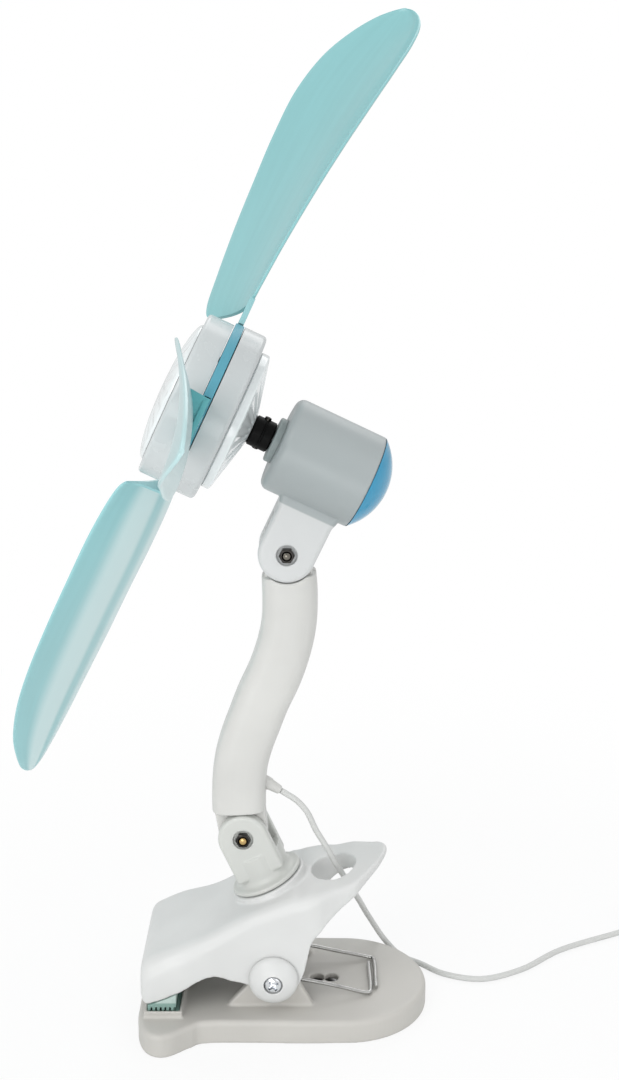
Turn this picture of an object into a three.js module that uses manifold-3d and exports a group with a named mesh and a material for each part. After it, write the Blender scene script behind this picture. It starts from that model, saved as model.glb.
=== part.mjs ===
// Clip fan: a spring clip, a swivel stalk, a curved arm of two half shells, a motor head and a
// three-blade soft fan. Millimetres, +Z up, +X towards the clip's handle, nose of the clip at -X.
// The origin is on the underside of the base, straight below the pivot of the clip.
import * as THREE from "three";
import { mergeVertices } from "three/addons/utils/BufferGeometryUtils.js";
import Module from "manifold-3d";

const wasm = await Module();
wasm.setup();

// ---------------------------------------------------------------- driving dimensions (mm, degrees)
const SLIVER = 0.03; // corners that lie closer than this to a face or an edge are dropped
const GAP = 0.3; // clearance between pieces that touch or turn on each other
const WALL = 2.4; // moulded skin of the base and the top of the jaw

const BASE_HALF_WIDTH = 31;
const BASE_HEIGHT = 9.05;
const BASE_FRONT = -49.7;
const BASE_TAIL_X = 27; // centre of the round tail
const BASE_EDGE = 1.1; // rounding of the base's edges
const BASE_FLARE = 9.2; // how far the nose swells past the waist
const EAR_OUT = 20; // outer face of the ears
const EAR_THICK = 3.5;
const EAR_RADIUS = 9.2;
const KEYHOLE_R = 2.8;
const KEYHOLE_X = 16.2;
const KEYHOLE_STEP = 5.4;
const LIP_HEIGHT = 1.85;
const LIP_FRONT = -47.5;
const LIP_BACK = -33.5;
const LIP_HALF_WIDTH = 28.3;
const LIP_WALL = 1;

const CLIP_Z = 22; // height of the clip's pivot
const PIN_R = 1.9;
const JAW_SIDE = 2.7; // side wall of the upper jaw
const JAW_HALF_WIDTH = 23;
const JAW_NOSE_HALF_WIDTH = 27;
const JAW_NOSE_X = -49;
const JAW_BOSS_R = 9.6;
const CAP_R = 9.9;
const CAP_HEIGHT = 4.7;
const LOOP_X = 24.3; // centre of the finger opening
const LOOP_A = 9;
const LOOP_B = 11;
const LOOP_RIM = 2.2;
const TIP_X = 41.8;

const WIRE_R = 0.75;
const COIL_R = 5;
const COIL_IN = 6.5;
const LEG_Y = 13;
const BAIL_X = 38.6;
const SPRING_TURNS = 3;

const TOOTH_PITCH = 1.7;
const TOOTH_DEPTH = 1.5;

const SEAT_TILT = 24.5; // the swivel leans towards the nose
const SEAT_X = -2.45;
const SEAT_Z = 51.5;
const SEAT_R = 14.5;
const SEAT_DEPTH = 6;
const FLANGE_R = 13.75;
const POST_R = 10.2;
const LOWER_PIVOT_W = 21.3; // above the seat, along the swivel's axis
const SWIVEL_SCREW_R = 2.2;

const EAR_HALF = 9.3; // half thickness of stalk, arm and stem across the pivots
const TONGUE_HALF = 4.6;
const TONGUE_R = 9;
const FORK_R = 9.3; // ears of the stalk
const STEM_R = 9.8; // ears of the stem
const BOLT_R = 1.7;
const BOLT_HEAD_R = 3.2;
const POCKET_R = 3.7;
const POCKET_DEPTH = 1.3;

const ARM_HALF_WIDTH = 10;
const ARM_HALF_THICK = 9;
const ARM_WALL = 2;
const ARM_RISE = 108.9; // upper pivot above the lower pivot
const ARM_REACH = 16.6;

const HEAD_TILT = 25.5;
const AXIS_ABOVE_PIVOT = 34;
const RING_BEFORE_PIVOT = 48.5; // from the pivot forward to the ring of blades
const HOUSING_R = 17.2;
const HOUSING_FRONT = 29.2;
const HOUSING_BACK = 63;
const HOUSING_WALL = 1.8;
const DOME_HEIGHT = 8;
const SHAFT_R = 1.5;
const COLLAR_R = HOUSING_R - 9;
const CAN_R = HOUSING_R - HOUSING_WALL - 0.8; // free round the motor
const CAN_WALL = 1.1;
const MAGNET_R = CAN_R - CAN_WALL - 0.1;
const MAGNET_WALL = 2.5;
const CORE_R = MAGNET_R - MAGNET_WALL - 1; // air gap of the rotor
const COMMUTATOR_R = 3.2;
const WINDING_IN_R = COMMUTATOR_R + 0.8; // clear of the commutator
const CORE_FRONT = 38;
const CORE_BACK = 48.5;

const HUB_R = 30;
const RING_R = 31;
const RING_HALF = 2.1;
const FRONT_DEPTH = 11.3;
const REAR_DEPTH = 10.4;
const HUB_WALL = 2;
const TIER_R = 25.6;
const TIER_BACK = 13.9;
const CONE_BACK = 18.5;
const COUPLER_R = 5.5;
const COUPLER_BACK = 26.4;
const SPIGOT_R = 3.4;
const SCREW_CIRCLE = 20;
const CAP_FRONT = 15.8;

const BLADE_TIP_R = 205;
const BLADE_ROOT_R = 38;
const BLADE_THICK = 1.3;
const BLADE_BOW = 15.4;
const BLADE_START = 10.2; // angle of the first blade from the camera side towards the top
const BLADES = 3;

const CORD_D = 2.3;
const COIL_PITCH = 2.8;
const LAYER_PITCH = 2.8;
const LAYERS = 4;
const TURNS_A_LAYER = 3.0125;
const CORD_COIL_R = 17.8; // outer radius of the cord's coil, at the centre of the cord
const RUN_IN = 20; // straight cord between the switch and the coil
const SWITCH = [38, 14, 11];
const GRIP = [26, 14, 7.6];
const SHELL = [12.5, 12, 4.5];

// ---------------------------------------------------------------- solids
const rad = THREE.MathUtils.degToRad;
const V = (x, y, z) => new THREE.Vector3(x, y, z);

// One closed body facing out: equal corners joined, needle faces dropped.
function tidy(geometry) {
  const g = geometry.clone();
  g.deleteAttribute("normal");
  g.deleteAttribute("uv");
  const joined = mergeVertices(g, 1e-4);
  const at = joined.attributes.position;
  const source = joined.index.array;
  const faces = [];
  let volume = 0;
  const [a, b, c] = [V(), V(), V()];
  for (let i = 0; i < source.length; i += 3) {
    const [p, q, r] = [source[i], source[i + 1], source[i + 2]];
    if (p === q || q === r || p === r) continue;
    faces.push(p, q, r);
    a.fromBufferAttribute(at, p);
    b.fromBufferAttribute(at, q);
    c.fromBufferAttribute(at, r);
    volume += a.dot(b.clone().cross(c));
  }
  if (volume < 0) faces.reverse();
  joined.setIndex(faces);
  return joined;
}

function solid(geometry) {
  const g = tidy(geometry);
  return new wasm.Manifold(
    new wasm.Mesh({
      numProp: 3,
      vertProperties: new Float32Array(g.attributes.position.array),
      triVerts: new Uint32Array(g.index.array),
    }),
  );
}

function geometryOf(manifold) {
  const m = manifold.simplify(SLIVER).getMesh();
  const g = new THREE.BufferGeometry();
  g.setAttribute("position", new THREE.BufferAttribute(new Float32Array(m.vertProperties), 3));
  g.setIndex(new THREE.BufferAttribute(new Uint32Array(m.triVerts), 1));
  return g;
}

const join = (first, ...rest) => rest.reduce((sum, g) => sum.add(solid(g)), solid(first));
const cut = (body, ...tools) => tools.reduce((left, g) => left.subtract(solid(g)), body);

// A revolve about Z of [radius, height] points.
function turned(profile, segments = 16) {
  const points = profile.map(([r, z]) => new THREE.Vector2(r, z));
  return new THREE.LatheGeometry(points, segments).rotateX(Math.PI / 2);
}

const ring = (r0, r1, z0, z1, segments = 16) =>
  turned([[r0, z0], [r1, z0], [r1, z1], [r0, z1], [r0, z0]], segments);
const disc = (r, z0, z1, segments = 16) => turned([[0, z0], [r, z0], [r, z1], [0, z1]], segments);

// Turns a piece made along Z so that it lies along Y, with its height counted along +Y.
const alongY = (g) => g.rotateX(-Math.PI / 2);

function box(x0, x1, y0, y1, z0, z1) {
  const g = new THREE.BoxGeometry(x1 - x0, y1 - y0, z1 - z0);
  return g.translate((x0 + x1) / 2, (y0 + y1) / 2, (z0 + z1) / 2);
}

const shapeOf = (points) => new THREE.Shape(points.map(([x, y]) => new THREE.Vector2(x, y)));

function plateZ(points, z0, z1, bevel = 0) {
  const options = { depth: z1 - z0 - 2 * bevel, bevelEnabled: bevel > 0, bevelSegments: 1 };
  options.bevelThickness = options.bevelSize = bevel;
  options.bevelOffset = -bevel;
  return new THREE.ExtrudeGeometry(shapeOf(points), options).translate(0, 0, z0 + bevel);
}

// A plate drawn in X and Z and thick along Y.
function plateY(points, y0, y1, bevel = 0) {
  return plateZ(points, -y1, -y0, bevel).rotateX(Math.PI / 2);
}

function arc(cx, cy, r, from, to, steps) {
  return Array.from({ length: steps + 1 }, (_, i) => {
    const a = rad(from + ((to - from) * i) / steps);
    return [cx + r * Math.cos(a), cy + r * Math.sin(a)];
  });
}

// Skins rings of equal count into one closed body, with flat ends.
function loft(rings) {
  const n = rings[0].length;
  const at = rings.flat().flatMap((p) => [p.x, p.y, p.z]);
  const faces = [];
  for (let i = 0; i + 1 < rings.length; i++)
    for (let k = 0; k < n; k++) {
      const [a, b] = [i * n + k, i * n + ((k + 1) % n)];
      faces.push(a, b, b + n, a, b + n, a + n);
    }
  const last = (rings.length - 1) * n;
  for (let k = 1; k + 1 < n; k++) faces.push(0, k + 1, k, last, last + k, last + k + 1);
  const g = new THREE.BufferGeometry();
  g.setAttribute("position", new THREE.Float32BufferAttribute(at, 3));
  g.setIndex(faces);
  return g;
}

function tube(curve, radius, sides, steps) {
  const round = new THREE.Shape();
  round.setFromPoints(
    Array.from({ length: sides }, (_, i) => {
      const a = (2 * Math.PI * (i + 0.5)) / sides;
      return new THREE.Vector2(radius * Math.cos(a), radius * Math.sin(a));
    }),
  );
  return new THREE.ExtrudeGeometry(round, { steps, extrudePath: curve, bevelEnabled: false });
}

// A hexagonal nut along Z with a round bore.
const hexNut = (bore, corner, z0, z1) =>
  geometryOf(cut(solid(disc(corner, z0, z1, 6)), disc(bore, z0 - 1, z1 + 1, 16)));

// A box with rounded long edges: size along X, Y and Z, its middle on the origin.
function roundedBlock([lx, ly, lz], radius) {
  const [y, z] = [ly / 2 - radius, lz / 2 - radius];
  const corners = [[y, z, 0], [-y, z, 90], [-y, -z, 180], [y, -z, 270]];
  const outline = corners.flatMap(([cy, cz, from]) => arc(cy, cz, radius, from, from + 90, 3));
  const g = new THREE.ExtrudeGeometry(shapeOf(outline), { depth: lx, bevelEnabled: false });
  return g.translate(0, 0, -lx / 2).applyMatrix4(
    new THREE.Matrix4().makeBasis(V(0, 1, 0), V(0, 0, 1), V(1, 0, 0)),
  );
}

const fan = new THREE.Group();
fan.name = "clip_fan";

const white = { color: 0xe9edec, roughness: 0.42, metalness: 0 };
const greyed = { color: 0xc4c2bd, roughness: 0.5, metalness: 0 };
const teal = { color: 0x7fb8ae, roughness: 0.65, metalness: 0 };
const steel = { color: 0xc9ccce, roughness: 0.25, metalness: 1 };
const darkSteel = { color: 0x2c2b29, roughness: 0.4, metalness: 1 };
const black = { color: 0x0b0b0b, roughness: 0.5, metalness: 0 };
const copper = { color: 0xb26a3a, roughness: 0.4, metalness: 1 };
const brass = { color: 0xb08d4a, roughness: 0.35, metalness: 1 };

function add(name, shape, look, group = fan) {
  const geometry = shape.isBufferGeometry ? tidy(shape) : geometryOf(shape);
  geometry.computeVertexNormals();
  const mesh = new THREE.Mesh(geometry, new THREE.MeshStandardMaterial(look));
  mesh.name = name;
  group.add(mesh);
  return mesh;
}

// ---------------------------------------------------------------- clip: base
// Half of the base's outline, from the tail round to the nose.
function baseOutline(inset) {
  const r = BASE_HALF_WIDTH - inset;
  const tail = arc(BASE_TAIL_X, 0, r, 0, 90, 9);
  const nose = new THREE.SplineCurve(
    [
      [11, BASE_HALF_WIDTH + 0.3],
      [-22.5, BASE_HALF_WIDTH],
      [-30, BASE_HALF_WIDTH + 3.1],
      [-36.8, BASE_HALF_WIDTH + 0.9 * BASE_FLARE],
      [-41.9, BASE_HALF_WIDTH + BASE_FLARE],
      [-46.7, BASE_HALF_WIDTH + 5.7],
      [BASE_FRONT, BASE_HALF_WIDTH - 3],
      [BASE_FRONT - 0.4, BASE_HALF_WIDTH / 2],
      [BASE_FRONT - 0.4, 0],
    ].map(([x, y]) => new THREE.Vector2(x, y)),
  );
  const steps = 17;
  const side = Array.from({ length: steps }, (_, i) => {
    const p = nose.getPoint(i / steps);
    const t = nose.getTangent(i / steps);
    return [p.x - t.y * inset, p.y + t.x * inset];
  });
  const half = [...tail, ...side];
  const mirrored = half.slice(1).reverse().map(([x, y]) => [x, -y]);
  return [...half, [BASE_FRONT - 0.4 + inset, 0], ...mirrored];
}

const CAVITY_TOP = BASE_HEIGHT - WALL;
const EAR_IN = EAR_OUT - EAR_THICK;

function baseClip() {
  const foot = [-17.3, 14.7]; // ends of the ears' feet
  const earProfile = [
    [foot[0], CAVITY_TOP],
    [foot[0], BASE_HEIGHT],
    ...arc(0, CLIP_Z, EAR_RADIUS, 200, -15, 16),
    [foot[1], BASE_HEIGHT],
    [foot[1], CAVITY_TOP],
  ];
  let body = solid(plateZ(baseOutline(0), 0, BASE_HEIGHT, BASE_EDGE));
  body = cut(body, plateZ(baseOutline(WALL), -1, CAVITY_TOP));
  const ribs = [
    box(-44, 44, 14, 15.8, 0, BASE_HEIGHT - 1),
    box(-44, 44, -15.8, -14, 0, BASE_HEIGHT - 1),
    box(-29.8, -28, -BASE_HALF_WIDTH, BASE_HALF_WIDTH, 0.4, BASE_HEIGHT - 1),
    box(33, 34.8, -28, 28, 0.4, BASE_HEIGHT - 1),
    box(-10, 10, -14.5, 14.5, 0, BASE_HEIGHT - 1),
  ];
  for (const g of ribs) body = body.add(solid(g).intersect(solid(plateZ(baseOutline(1), 0, 20))));
  body = body.add(solid(plateY(earProfile, EAR_IN, EAR_OUT)));
  body = body.add(solid(plateY(earProfile, -EAR_OUT, -EAR_IN)));
  const lip = [LIP_FRONT, LIP_BACK, LIP_HALF_WIDTH, BASE_HEIGHT + LIP_HEIGHT];
  body = body.add(solid(box(lip[0], lip[1], -lip[2], lip[2], BASE_HEIGHT - 0.5, lip[3])));
  return cut(
    body,
    box(lip[0] + LIP_WALL, lip[1] - LIP_WALL, LIP_WALL - lip[2], lip[2] - LIP_WALL, BASE_HEIGHT, 20),
    alongY(disc(PIN_R + GAP, -30, 30)).translate(0, 0, CLIP_Z),
    disc(KEYHOLE_R, -1, 20, 20).translate(KEYHOLE_X, 0, 0),
    disc(KEYHOLE_R, -1, 20, 20).translate(KEYHOLE_X + KEYHOLE_STEP, 0, 0),
  );
}
add("base_clip", baseClip(), greyed);

const PAD_X = [LIP_FRONT + LIP_WALL + GAP, LIP_BACK - LIP_WALL - GAP];
const PAD_HALF = LIP_HALF_WIDTH - LIP_WALL - GAP;
const PAD_TOP = BASE_HEIGHT + LIP_HEIGHT - GAP;
add("pad_lower", box(...PAD_X, -PAD_HALF, PAD_HALF, BASE_HEIGHT + 0.05, PAD_TOP), teal);

// ---------------------------------------------------------------- clip: upper jaw
// Lower edge, top, half width and corner radius of the jaw at each station along X.
const bossBottom = (x) => CLIP_Z - Math.sqrt(JAW_BOSS_R ** 2 - x ** 2);
const N = JAW_NOSE_HALF_WIDTH;
const H = JAW_HALF_WIDTH;
const JAW = [
  [JAW_NOSE_X, 16.5, 26, N - 3.5, 4],
  [JAW_NOSE_X + 0.6, 14.8, 27.8, N - 1.7, 6],
  [JAW_NOSE_X + 2.2, 13.6, 29.5, N - 0.4, 7],
  [-43.7, 14.5, 31, N, 7],
  [-38.5, 16.6, 33.4, N, 7],
  [-33.7, 18.5, 35.2, N - 0.4, 7],
  [-27, 22, 37.4, H + 2, 6.5],
  [-21.5, 23, 39.8, H + 0.8, 6],
  [-16, 21, 43, H + 0.2, 6],
  [-9.2, 19, 46.4, H, 5],
  ...[-7, -4, 0, 4, 7].map((x) => [x, bossBottom(x), 50.2 + 0.4 * x, H, 5]),
  [9.4, 19.6, 53.2, H, 4.5],
  [11.6, 25, 53.9, H, 4.5],
  [13.8, 35.2, 54.4, H, 4.5],
  [17.3, 40, 55, H - 0.7, 3.5],
  [20, 43.3, 55.5, H - 1.9, 2.6],
  [24, 47.4, 56.2, H - 3.4, 2.4],
  [30, 52.5, 58.2, H - 5, 2.2],
  [34, 55.8, 59.9, 14.2, 1.9],
  [37.3, 58.5, 61.5, 9.8, 1.4],
  [40, 60.8, 63, 5.2, 1],
  [TIP_X, 62.4, 63.8, 1.2, 0.5],
];

function jawRing([x, low, top, half, radius], side, skin, floor) {
  const w = half - side;
  const z = top - skin;
  const r = Math.max(0.3, radius - side / 2);
  const left = arc(-w + r, z - r, r, 180, 90, 3);
  const right = arc(w - r, z - r, r, 90, 0, 3);
  const bottom = floor ?? low;
  return [[-w, bottom], ...left, ...right, [w, bottom]].map(([y, h]) => V(x, y, h));
}

// The seat's frame: Z along the swivel's axis, X up the slope towards the handle.
const seatAxis = V(-Math.sin(rad(SEAT_TILT)), 0, Math.cos(rad(SEAT_TILT)));
const seat = new THREE.Matrix4()
  .makeTranslation(SEAT_X, 0, SEAT_Z)
  .multiply(new THREE.Matrix4().makeRotationY(-rad(SEAT_TILT)));

function jawClip() {
  const outer = loft(JAW.map((s) => jawRing(s, 0, 0)));
  const inside = JAW.filter(([x]) => x > JAW_NOSE_X + 2 && x < 38);
  inside[0] = [JAW_NOSE_X + WALL, ...inside[0].slice(1)];
  const cavity = solid(loft(inside.map((s) => jawRing(s, JAW_SIDE, WALL, -5))));
  const oval = (grow, z0, z1) =>
    disc(1, z0, z1, 28)
      .scale(LOOP_A + grow, LOOP_B + grow, 1)
      .translate(LOOP_X, 0, 0);
  let body = solid(outer).add(solid(disc(SEAT_R, -SEAT_DEPTH, 0, 36).applyMatrix4(seat)));
  body = body.subtract(cavity.subtract(solid(oval(LOOP_RIM, 0, 80))));
  body = body.add(solid(disc(SEAT_R - 3, -SEAT_DEPTH, -1, 28).applyMatrix4(seat)));
  const ribs = [box(-31.8, -30, -22, 22, 28, 34), box(-44, -12, -1, 1, 30, 33)];
  for (const g of ribs) body = body.add(solid(g));
  return cut(
    body,
    oval(0, 0, 80),
    disc(SWIVEL_SCREW_R + GAP, -SEAT_DEPTH - 2, 2).applyMatrix4(seat),
    alongY(disc(PIN_R + GAP, -30, 30)).translate(0, 0, CLIP_Z),
  );
}
add("jaw_clip", jawClip(), white);

// Lower edge of the jaw at x, between its stations.
function jawLow(x) {
  const i = Math.max(1, JAW.findIndex((s) => s[0] >= x));
  const [a, b] = [JAW[i - 1], JAW[i]];
  return a[1] + ((b[1] - a[1]) * (x - a[0])) / (b[0] - a[0]);
}

function padUpper() {
  const low = BASE_HEIGHT + LIP_HEIGHT + GAP;
  const root = low + TOOTH_DEPTH;
  const [x0, x1] = PAD_X;
  const teeth = [];
  for (let x = x0; x + TOOTH_PITCH < x1; x += TOOTH_PITCH)
    teeth.push([x, low], [x + 0.8, low], [x + 1.05, root], [x + 1.5, root]);
  const crown = [0, 0.3, 0.78, 1].map((share) => {
    const x = x1 + (x0 - x1) * share;
    return [x, Math.max(jawLow(x) - 0.4, root + 0.2)];
  });
  const slab = plateY([...teeth, [x1, low], ...crown], -PAD_HALF, PAD_HALF);
  const plugHalf = N - JAW_SIDE - 1.5;
  const plug = box(x0 + 1, x1 - 2.2, -plugHalf, plugHalf, root + 0.3, 24);
  return join(slab, plug);
}
add("pad_upper", padUpper(), teal);

// ---------------------------------------------------------------- clip: pin, caps and spring
function domeWasher() {
  const profile = [
    [PIN_R + GAP, 0],
    [CAP_R, 0],
    [CAP_R, 0.8],
    [0.91 * CAP_R, 0.5 * CAP_HEIGHT],
    [0.7 * CAP_R, 0.8 * CAP_HEIGHT],
    [0.45 * CAP_R, 0.96 * CAP_HEIGHT],
    [BOLT_HEAD_R + GAP, CAP_HEIGHT],
    [BOLT_HEAD_R + GAP, 0.55 * CAP_HEIGHT],
    [PIN_R + GAP, 0.55 * CAP_HEIGHT],
    [PIN_R + GAP, 0],
  ];
  return turned(profile, 20);
}
const CAP_Y = JAW_HALF_WIDTH + GAP;
add("dome_washer_far", alongY(domeWasher()).translate(0, CAP_Y, CLIP_Z), white);
add(
  "dome_washer_near",
  alongY(domeWasher()).rotateZ(Math.PI).translate(0, -CAP_Y, CLIP_Z),
  white,
);

const HEAD_SEAT = CAP_Y + 0.55 * CAP_HEIGHT + GAP;
function clipScrew() {
  const profile = [
    [0, -HEAD_SEAT - 2.4],
    [PIN_R - 0.3, -HEAD_SEAT - 2.4],
    [PIN_R, -HEAD_SEAT - 2.1],
    [PIN_R, HEAD_SEAT],
    [BOLT_HEAD_R, HEAD_SEAT],
    [BOLT_HEAD_R, HEAD_SEAT + 1.4],
    [0.7 * BOLT_HEAD_R, HEAD_SEAT + 2.1],
    [0, HEAD_SEAT + 2.3],
  ];
  const body = cut(
    solid(turned(profile, 20)),
    box(-0.4, 0.4, -2.3, 2.3, HEAD_SEAT + 1, HEAD_SEAT + 5),
    box(-2.3, 2.3, -0.4, 0.4, HEAD_SEAT + 1, HEAD_SEAT + 5),
  );
  return alongY(geometryOf(body)).rotateZ(Math.PI).translate(0, 0, CLIP_Z);
}
add("clip_screw", clipScrew(), steel);
add(
  "clip_nut",
  alongY(hexNut(PIN_R + 0.1, BOLT_HEAD_R, HEAD_SEAT, HEAD_SEAT + 2)).translate(0, 0, CLIP_Z),
  steel,
);

// One wire: tail across the base, leg, coil, bridge under the seat, coil, leg, tail.
function springPath() {
  const z = BASE_HEIGHT + WIRE_R + GAP;
  const side = (sign) => {
    const points = [];
    const [from, to] = [151, 262.5 + 360 * SPRING_TURNS];
    for (let i = 0; i <= 16 * SPRING_TURNS; i++) {
      const f = i / (16 * SPRING_TURNS);
      const a = rad(from + (to - from) * f);
      const y = COIL_IN + (LEG_Y - COIL_IN) * f;
      points.push(V(COIL_R * Math.cos(a), sign * y, CLIP_Z + COIL_R * Math.sin(a)));
    }
    points.push(V(11.6, sign * LEG_Y, 15.6), V(BAIL_X - 13, sign * LEG_Y, z + 2.4));
    const bend = BAIL_X - (sign > 0 ? 0 : 2.2);
    points.push(V(bend - 2, sign * LEG_Y, z + 0.1), V(bend - 0.5, sign * (LEG_Y - 0.5), z));
    points.push(V(bend, sign * (LEG_Y - 2), z), V(bend, sign * -9, z));
    return points;
  };
  const bridge = [V(7.6, -COIL_IN, 47), V(9, -COIL_IN + 1.6, 48.6), V(9, COIL_IN - 1.6, 48.6)];
  const points = [...side(-1).reverse(), ...bridge, V(7.6, COIL_IN, 47), ...side(1)];
  return new THREE.CatmullRomCurve3(points, false, "centripetal");
}
add("clip_spring", tube(springPath(), WIRE_R, 6, 130), steel);

// ---------------------------------------------------------------- swivel stalk
const stalk = new THREE.Group();
stalk.applyMatrix4(seat);
fan.add(stalk);

const tongueSlot = (y) => [-y, y];
function pockets(z) {
  return [-1, 1].flatMap((s) => {
    const [a, b] = [s * (EAR_HALF - POCKET_DEPTH), s * (EAR_HALF + 3)];
    return alongY(disc(POCKET_R, Math.min(a, b), Math.max(a, b), 18)).translate(0, 0, z);
  });
}

function swivelPost() {
  const waist = LOWER_PIVOT_W - TONGUE_R - GAP; // floor of the fork
  const foot = turned([
    [0, GAP],
    [FLANGE_R - 0.5, GAP],
    [FLANGE_R, GAP + 0.5],
    [FLANGE_R, 1.7],
    [FLANGE_R - 0.7, 2.1],
    [POST_R + 0.8, 2.6],
    [POST_R, 4],
    [POST_R, waist + 1],
    [0, waist + 1],
  ], 16);
  const p = [0, LOWER_PIVOT_W];
  const ear = [[FORK_R, 5], ...arc(...p, FORK_R, 0, 180, 12), [-FORK_R, 5]];
  let body = join(foot, plateY(ear, -EAR_HALF, EAR_HALF, 1.2));
  body = body.subtract(
    solid(box(-20, 20, ...tongueSlot(TONGUE_HALF + GAP), waist, LOWER_PIVOT_W + 20)),
  );
  return cut(
    body,
    alongY(disc(BOLT_R + GAP, -20, 20, 20)).translate(0, 0, LOWER_PIVOT_W),
    ...pockets(LOWER_PIVOT_W),
    disc(SWIVEL_SCREW_R + GAP, -1, waist - 2, 20),
  );
}
add("swivel_post", swivelPost(), white, stalk);
const WASHER_TOP = -SEAT_DEPTH - GAP;
add("swivel_washer", ring(SWIVEL_SCREW_R + GAP, 6, WASHER_TOP - 1, WASHER_TOP), steel, stalk);
function swivelScrew() {
  const head = WASHER_TOP - 1 - GAP;
  const profile = [[0, head - 2], [3.2, head - 2], [4, head - 1.2], [4, head]];
  const shank = [[SWIVEL_SCREW_R, head], [SWIVEL_SCREW_R, 8.4], [SWIVEL_SCREW_R - 0.8, 9.2], [0, 9.2]];
  return cut(
    solid(turned([...profile, ...shank], 16)),
    box(-2.6, 2.6, -0.45, 0.45, head - 4, head - 1),
    box(-0.45, 0.45, -2.6, 2.6, head - 4, head - 1),
  );
}
add("swivel_screw", swivelScrew(), steel, stalk);

// A pivot bolt along Y, its round head on the far side and a hexagonal nut on the near side.
function pivotBolt(name, at) {
  const group = new THREE.Group();
  group.position.copy(at);
  fan.add(group);
  const seatY = EAR_HALF - POCKET_DEPTH + 0.1;
  const bolt = alongY(
    turned([
      [0, -seatY - 2.6],
      [BOLT_R - 0.3, -seatY - 2.6],
      [BOLT_R, -seatY - 2.3],
      [BOLT_R, seatY],
      [BOLT_HEAD_R, seatY],
      [BOLT_HEAD_R, seatY + 1.2],
      [0.7 * BOLT_HEAD_R, seatY + 1.9],
      [0, seatY + 2],
    ], 16),
  );
  add(`${name}_bolt`, bolt, brass, group);
  const nut = alongY(hexNut(BOLT_R + 0.1, BOLT_HEAD_R, -seatY - 2, -seatY));
  add(`${name}_nut`, nut, darkSteel, group);
}
const lowerPivot = V(SEAT_X, 0, SEAT_Z).addScaledVector(seatAxis, LOWER_PIVOT_W);
const upperPivot = lowerPivot.clone().add(V(ARM_REACH, 0, ARM_RISE));
pivotBolt("lower", lowerPivot);
pivotBolt("upper", upperPivot);

// ---------------------------------------------------------------- arm
// The middle of the arm as shares of its reach and rise, bent like an S.
const ARM_BEND = [
  [0, 0], [-0.08, 0.054], [-0.1, 0.129], [-0.05, 0.248], [0.08, 0.33], [0.25, 0.402],
  [0.45, 0.483], [0.735, 0.58], [0.94, 0.677], [1.036, 0.754], [1.06, 0.846], [1, 1],
];
const armLine = new THREE.CatmullRomCurve3(
  ARM_BEND.map(([u, w]) => V(lowerPivot.x + u * ARM_REACH, 0, lowerPivot.z + w * ARM_RISE)),
  false,
  "centripetal",
);

// Share of the arm's length at which it is a given distance from one of its pivots.
function armShare(distance, fromTop) {
  const end = fromTop ? upperPivot : lowerPivot;
  let [near, far] = fromTop ? [1, 0.5] : [0, 0.5];
  for (let i = 0; i < 40; i++) {
    const mid = (near + far) / 2;
    if (armLine.getPointAt(mid).distanceTo(end) < distance) near = mid;
    else far = mid;
  }
  return near;
}

function armRings(inset, low, high, count) {
  return Array.from({ length: count + 1 }, (_, i) => {
    const u = low + ((high - low) * i) / count;
    const p = armLine.getPointAt(u);
    const t = armLine.getTangentAt(u);
    const across = V(t.z, 0, -t.x);
    return Array.from({ length: 16 }, (_, k) => {
      const a = (2 * Math.PI * (k + 0.5)) / 16;
      const power = (v) => Math.sign(v) * Math.abs(v) ** 0.62;
      const x = power(Math.cos(a)) * (ARM_HALF_WIDTH - inset);
      return V(p.x + across.x * x, power(Math.sin(a)) * (ARM_HALF_THICK - inset), p.z + across.z * x);
    });
  });
}

const SHOULDER_LOW = FORK_R + 0.5;
const SHOULDER_HIGH = STEM_R - 1.2;
const grommetSpot = V(-2.2, 0, 89.7);
const grommetAim = V(4.5, 0, -2.8).normalize();

function grommet(grow) {
  const g = turned([
    [0, -3.2],
    [2.4 + grow, -3.2],
    [2.4 + grow, 0],
    [2.2 + grow, 1.2],
    [CORD_D / 2 + 0.35 + grow, 5.5],
    [0, 5.5],
  ], 16);
  const q = new THREE.Quaternion().setFromUnitVectors(V(0, 0, 1), grommetAim);
  return g.applyQuaternion(q).translate(...grommetSpot);
}

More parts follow.
